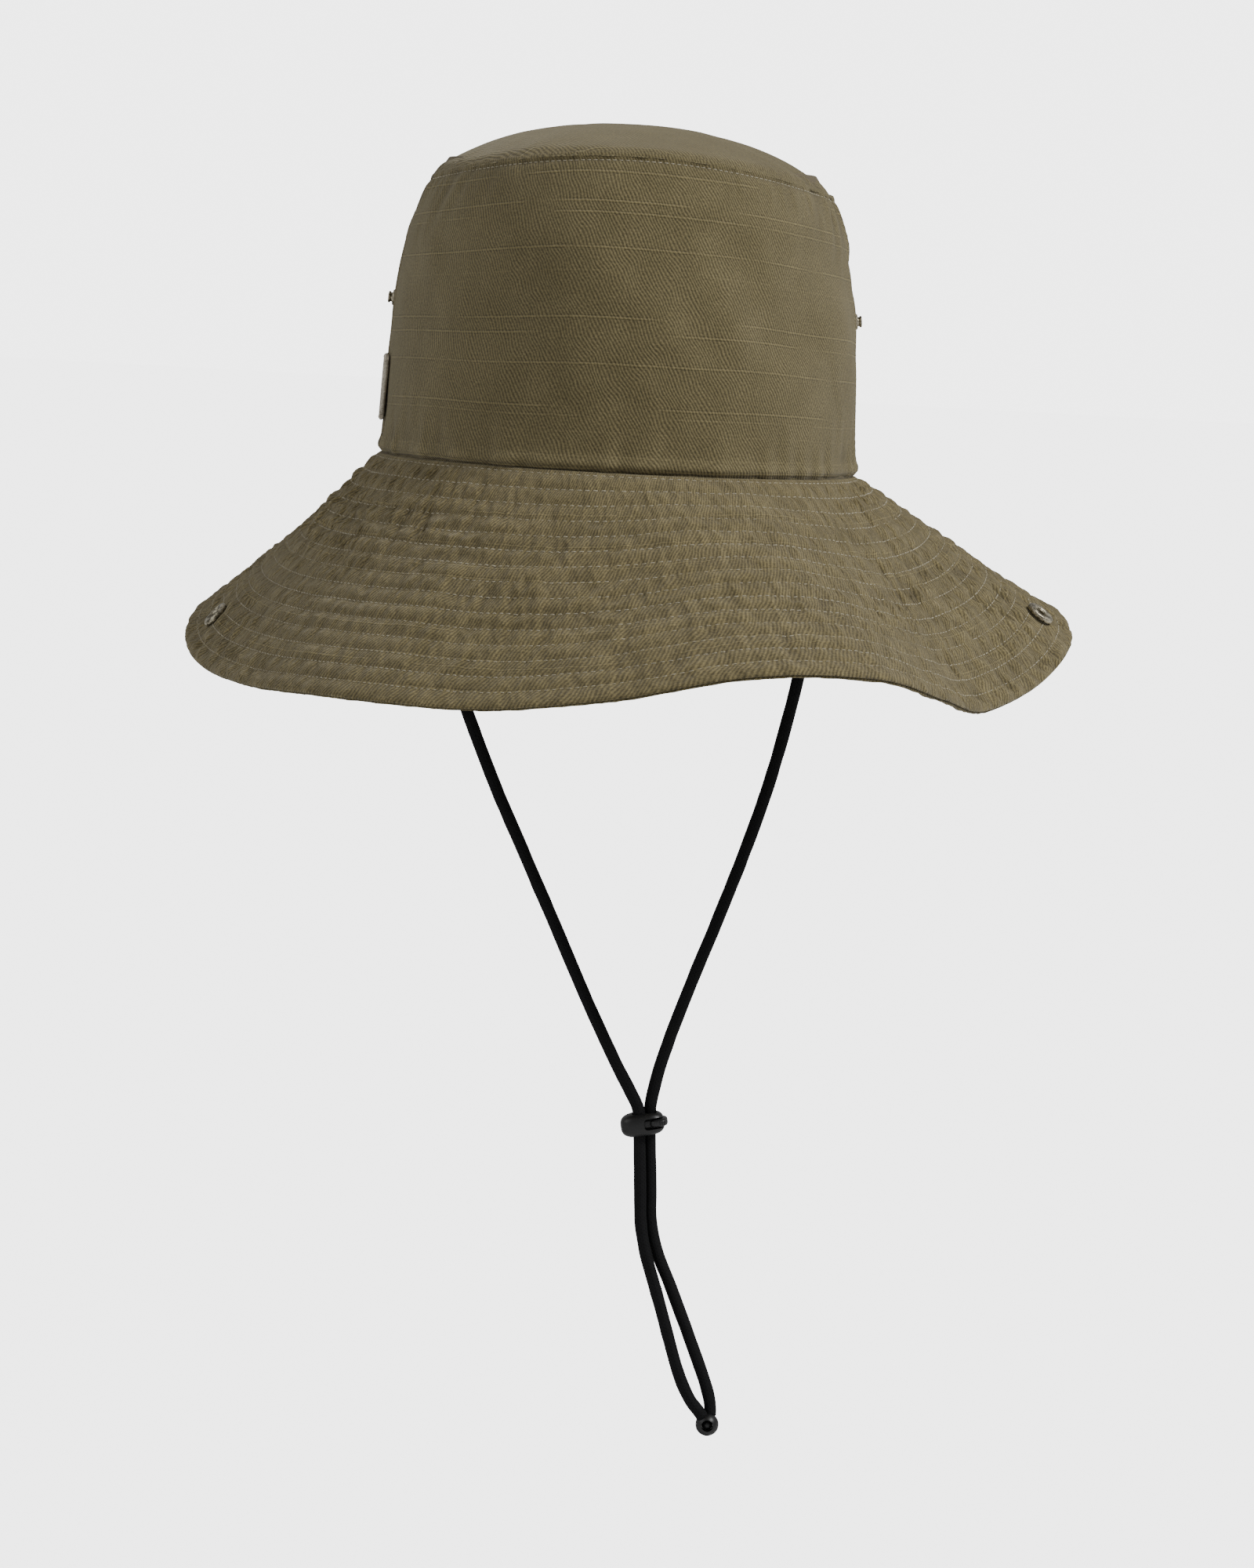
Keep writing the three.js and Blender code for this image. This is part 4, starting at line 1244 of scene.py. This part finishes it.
def turnedPiece(name, profile, segments, closedEnds):
    # a circle extruded and resized ring by ring
    deselected()
    first = profile[0]
    bpy.ops.mesh.primitive_circle_add(vertices=segments, radius=first[0] * mm, location=(0, 0, first[1] * mm),
                                      fill_type="NOTHING")
    piece = bpy.context.object
    piece.name = name
    bpy.ops.object.mode_set(mode="EDIT")
    bpy.ops.mesh.select_all(action="SELECT")
    if closedEnds:
        bpy.ops.mesh.edge_face_add()
    for (radius, height), (nextRadius, nextHeight) in zip(profile, profile[1:]):
        bpy.ops.mesh.extrude_region_move(TRANSFORM_OT_translate={"value": (0, 0, (nextHeight - height) * mm)})
        ratio = nextRadius / radius
        bpy.ops.transform.resize(value=(ratio, ratio, 1), center_override=(0, 0, nextHeight * mm))
    if not closedEnds:
        # back to the first ring, which closes the section
        radius, height = profile[-1]
        bpy.ops.mesh.extrude_region_move(TRANSFORM_OT_translate={"value": (0, 0, (first[1] - height) * mm)})
        bpy.ops.transform.resize(value=(first[0] / radius, first[0] / radius, 1),
                                 center_override=(0, 0, first[1] * mm))
    bpy.ops.mesh.select_all(action="SELECT")
    bpy.ops.mesh.remove_doubles(threshold=0.004 * mm)
    bpy.ops.object.mode_set(mode="OBJECT")
    bevelled(piece, 0.09 * mm, 2)
    return piece


def addSnapPart(name, profile, segments, closedEnds, point, axis, body, node):
    piece = turnedPiece(name, snap[profile], segments, closedEnds)
    piece.rotation_mode = "QUATERNION"
    piece.rotation_quaternion = Vector((0, 0, 1)).rotation_difference(axis)
    piece.location = point
    finish(settle(piece, 38), "brass", "snap_metal", body, [node])


def makeSnaps():
    share = snap["studHeight"] / crown["sideHeight"]
    slope = (crown["lean"] + crown["shoulder"] * crown["shoulderPower"] * share ** (crown["shoulderPower"] - 1))
    slope /= crown["sideHeight"]
    distance = np.array([brim["snapDistance"]])
    for side, sign, angle in (("right", 1, 0.0), ("left", -1, math.pi)):
        at = np.array([angle])
        axis = Vector((sign, 0, slope)).normalized()
        wall = Vector(wallPoint(at, np.array([share]), 0)[0].tolist())
        addSnapPart(side + "_stud", "studProfile", 48, True, wall + axis * snap["studLift"], axis, "crown",
                    side + "_snap_stud")
        addSnapPart(side + "_stud_washer", "backProfile", 48, False, wall - axis * snap["studDepth"], axis, "crown",
                    side + "_stud_back")
        centre = brimPoint(at, distance, 0)[0]
        away = brimPoint(at, distance + mm, 0)[0] - centre
        around = brimPoint(at + 0.01, distance, 0)[0] - brimPoint(at - 0.01, distance, 0)[0]
        normal = Vector(np.cross(away, around).tolist()).normalized()
        centre = Vector(centre.tolist())
        body = side + "_brim_side"
        addSnapPart(side + "_socket", "ringProfile", 64, False, centre + normal * snap["gap"], normal, body,
                    side + "_snap_socket")
        addSnapPart(side + "_socket_washer", "backProfile", 48, False,
                    centre - normal * (brim["thickness"] + snap["gap"]), normal, body, side + "_socket_back")
    print("snaps")


patch = {"bottom": 11 * mm, "height": 23 * mm, "width": 34 * mm, "thickness": 1.7 * mm, "gap": 0.3 * mm,
         "corner": 3 * mm, "edge": 1.35 * mm, "inset": 0.6 * mm,
         "rib": 0.11 * mm, "ribPitch": 1.15 * mm, "ribSlant": 0.8, "cup": 0.35 * mm,
         "loops": 230, "loopThread": 0.29 * mm, "loopLean": 0.9 * mm, "loopTurn": 78}


def patchPlace(across, height, depth):
    # across runs from -1 to 1 over the patch, height and depth in metres, depth from the outer face
    aside = across * patch["width"] / 2
    angle = math.pi + aside / crown["halfDepth"]
    rib = patch["rib"] * np.sin((aside + patch["ribSlant"] * height) / patch["ribPitch"] * fullTurn)
    cup = patch["cup"] * across ** 2 * hump(height, 0, 12 * mm)
    outer = np.clip(1 - depth / (0.9 * mm), 0, 1)
    out = patch["gap"] + patch["thickness"] - 0.25 * mm - depth + rib * outer + cup
    share = (patch["bottom"] + height) / crown["sideHeight"]
    return wallPoint(angle, share, -out), rib * outer / (0.2 * mm)


def patchBorder():
    # the patch's outline with rounded corners, evenly spaced for the loops of thread
    corner = patch["corner"]
    halfWide, halfHigh = (patch[size] / 2 - patch["edge"] for size in ("width", "height"))
    border = []
    for cx, cy, first in ((1, 1, 0), (-1, 1, 90), (-1, -1, 180), (1, -1, 270)):
        for turn in np.radians(np.linspace(first, first + 90, 9)):
            border.append((cx * (halfWide - corner) + corner * math.cos(turn),
                           cy * (halfHigh - corner) + corner * math.sin(turn)))
    border = np.array(border + border[:1])
    run = np.concatenate([[0], np.cumsum(np.hypot(*np.diff(border, axis=0).T))])
    even = np.linspace(0, run[-1], patch["loops"], endpoint=False)
    return np.stack([np.interp(even, run, border[:, axis]) for axis in range(2)], 1)


def makePatch():
    inset, half = patch["inset"], patch["width"] / 2
    across = np.linspace(-1 + inset / half, 1 - inset / half, 96)
    profile = section(patch["height"] - inset, 70, 1.1 * mm, 12, start=inset)
    cloth = clothSheet("patch_cloth_face", across, profile, patchPlace, across * half)
    finish(settle(cloth, 60), "patch", "patch_cloth", "crown", ["left_side_patch"])
    # overlocked edge: thread loops wrapped over the border, each leaning a little
    border = patchBorder()
    ahead = unit(np.roll(border, -1, 0) - np.roll(border, 1, 0))
    away = np.stack([ahead[:, 1], -ahead[:, 0]], 1)
    steps, sides = 9, 5
    stage = np.arange(steps) / (steps - 1)
    turn = np.radians(patch["loopTurn"] * (2 * stage - 1))[:, None]
    out, lean = np.cos(turn) * patch["edge"] * 0.95, (stage[:, None] - 0.5) * patch["loopLean"]
    around = np.arange(sides) / sides * fullTurn
    aside, beyond = np.cos(around)[:, None] * patch["loopThread"], np.sin(around)[:, None] * patch["loopThread"]
    points, faces = [], []
    for i in range(patch["loops"]):
        middle = border[i] + away[i] * out + ahead[i] * lean
        flat = middle[:, None, :] + ahead[i] * aside + (away[i] * np.cos(turn))[:, None, :] * beyond
        depth = 0.72 * mm + np.sin(turn) * (0.62 * mm + beyond[:, 0])
        points.append(np.concatenate([flat, depth[:, :, None]], 2).reshape(-1, 3))
        faces += tubeFaces(steps, sides, i * steps * sides)
    flat = np.concatenate(points)
    wrapped = patchPlace(flat[:, 0] / half, flat[:, 1] + patch["height"] / 2, flat[:, 2])[0]
    edge = settle(newMesh("patch_overlock", wrapped, faces), 60)
    finish(edge, "merrow", "patch_cloth", "crown")
    print("patch")


tab = {"width": 10.6 * mm, "thickness": 2.2 * mm, "rib": 0.12 * mm, "ribPitch": 1.3 * mm, "weave": 0.06 * mm,
       "weavePitch": 0.9 * mm}
whipping = {"turns": 5, "pitch": 0.72 * mm, "radius": 2.42 * mm, "thread": 0.37 * mm, "tuck": 0.5 * mm,
            "top": 0.6 * mm, "steps": 200, "sides": 8}


def makeWhipping(name, start):
    # thread wound round the cord's end, its own ends tucked under the turns
    share = np.linspace(0, 1, whipping["steps"])[:, None]
    turn = share * whipping["turns"] * fullTurn
    out = whipping["radius"] - whipping["tuck"] * (1 - smoothStep(np.minimum(share, 1 - share), 0, 0.06))
    height = start.z + whipping["top"] - share * whipping["turns"] * whipping["pitch"]
    thick = whipping["thread"] * (1 + 0.12 * smoothNoise(turn * 1.9, 0 * turn, 91))
    around = np.arange(whipping["sides"]) / whipping["sides"] * fullTurn
    reach = out + thick * np.cos(around)
    points = np.stack([start.x + reach * np.cos(turn), reach * np.sin(turn), height + thick * np.sin(around)], -1)
    wound = newMesh(name, points.reshape(-1, 3), tubeFaces(whipping["steps"], whipping["sides"]))
    finish(settle(wound, 60), "button", "cord_braid", "chin_cord")


def makeTabs():
    for side, sign in (("right", 1), ("left", -1)):
        low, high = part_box(side + "_cord_anchor")
        face = max(abs(low.x), abs(high.x))

        def place(across, distance, depth):
            rib = tab["rib"] * np.abs(np.sin(across / tab["ribPitch"] * math.pi))
            weave = tab["weave"] * np.sin(distance / tab["weavePitch"] * fullTurn)
            x = face - 0.1 * mm - depth + (rib + weave) * np.where(depth > tab["thickness"] / 2, -1, 1)
            return np.stack([sign * x, across, low.z + distance], -1), rib / tab["rib"]
        across = np.linspace(-tab["width"] / 2, tab["width"] / 2, 60)
        profile = section(high.z - low.z - 1.2 * mm, 80, tab["thickness"], 80, edgeSteps=7, start=1.1 * mm)
        piece = clothSheet(side + "_cord_tab", across, profile, place, across)
        finish(settle(piece, 60), "braid", "cord_braid", "crown", [side + "_cord_anchor"])
        makeWhipping(side + "_cord_whipping", Vector(leftRoute[0] if sign < 0 else rightRoute[0]) * mm)
    print("tabs")


makeCrown()
makeBrim()
makeLining()
makeSnaps()
makePatch()
makeTabs()


studio = {
    "floorSize": 60, "floorColour": (0.8, 0.8, 0.8, 1), "paleBackdrop": (1, 1, 1, 1), "backdropGlow": 4.1,
    "evenness": 0.96,
    "worldColour": (1, 1, 1, 1), "worldStrength": 0.36,
    "lights": [("key_light", (1.65, -0.85, 1.75), 0.6, 64), ("fill_light", (-2.2, -0.8, 1.3), 2.0, 21)],
}


def makeStudio():
    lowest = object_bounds()[0][2]
    deselected()
    bpy.ops.mesh.primitive_plane_add(size=studio["floorSize"], location=(0, 0, lowest - 0.5 * mm))
    floor = bpy.context.object
    floor.name = "studio_floor"
    material, tree, shader = newMaterial("paleFloor")
    shader.inputs["Base Color"].default_value = studio["floorColour"]
    shader.inputs["Roughness"].default_value = 1.0
    shader.inputs["Specular IOR Level"].default_value = 0.0
    # the camera sees floor and backdrop as one even pale tone
    glow = addNode(tree, "Emission", {"Color": studio["paleBackdrop"], "Strength": studio["backdropGlow"]})
    seen = addNode(tree, "LightPath").outputs["Is Camera Ray"]
    blend = addNode(tree, "MixShader", {0: product(tree, seen, studio["evenness"]), 1: shader.outputs[0],
                                        2: glow.outputs[0]})
    # seen from below it isn't there
    under = addNode(tree, "NewGeometry").outputs["Backfacing"]
    clear = addNode(tree, "BsdfTransparent").outputs[0]
    shown = addNode(tree, "MixShader", {0: under, 1: blend.outputs[0], 2: clear})
    tree.links.new(shown.outputs[0], tree.nodes["Material Output"].inputs["Surface"])
    floor.data.materials.append(material)
    world = bpy.data.worlds.new("studioWorld")
    bpy.context.scene.world = world
    world.use_nodes = True
    sky = world.node_tree.nodes["Background"]
    sky.inputs["Color"].default_value = studio["worldColour"]
    seen = addNode(world.node_tree, "LightPath").outputs["Is Camera Ray"]
    strength = addNode(world.node_tree, "MapRange", {0: seen, 3: studio["worldStrength"], 4: studio["backdropGlow"]})
    world.node_tree.links.new(strength.outputs[0], sky.inputs["Strength"])
    for name, place, size, power in studio["lights"]:
        bpy.ops.object.light_add(type="AREA", location=place)
        light = bpy.context.object
        light.name = name
        light.data.size = size
        light.data.energy = power
        aim = Vector((0, 0, -0.05)) - Vector(place)
        light.rotation_euler = aim.to_track_quat("-Z", "Y").to_euler()


makeStudio()
print("studio")
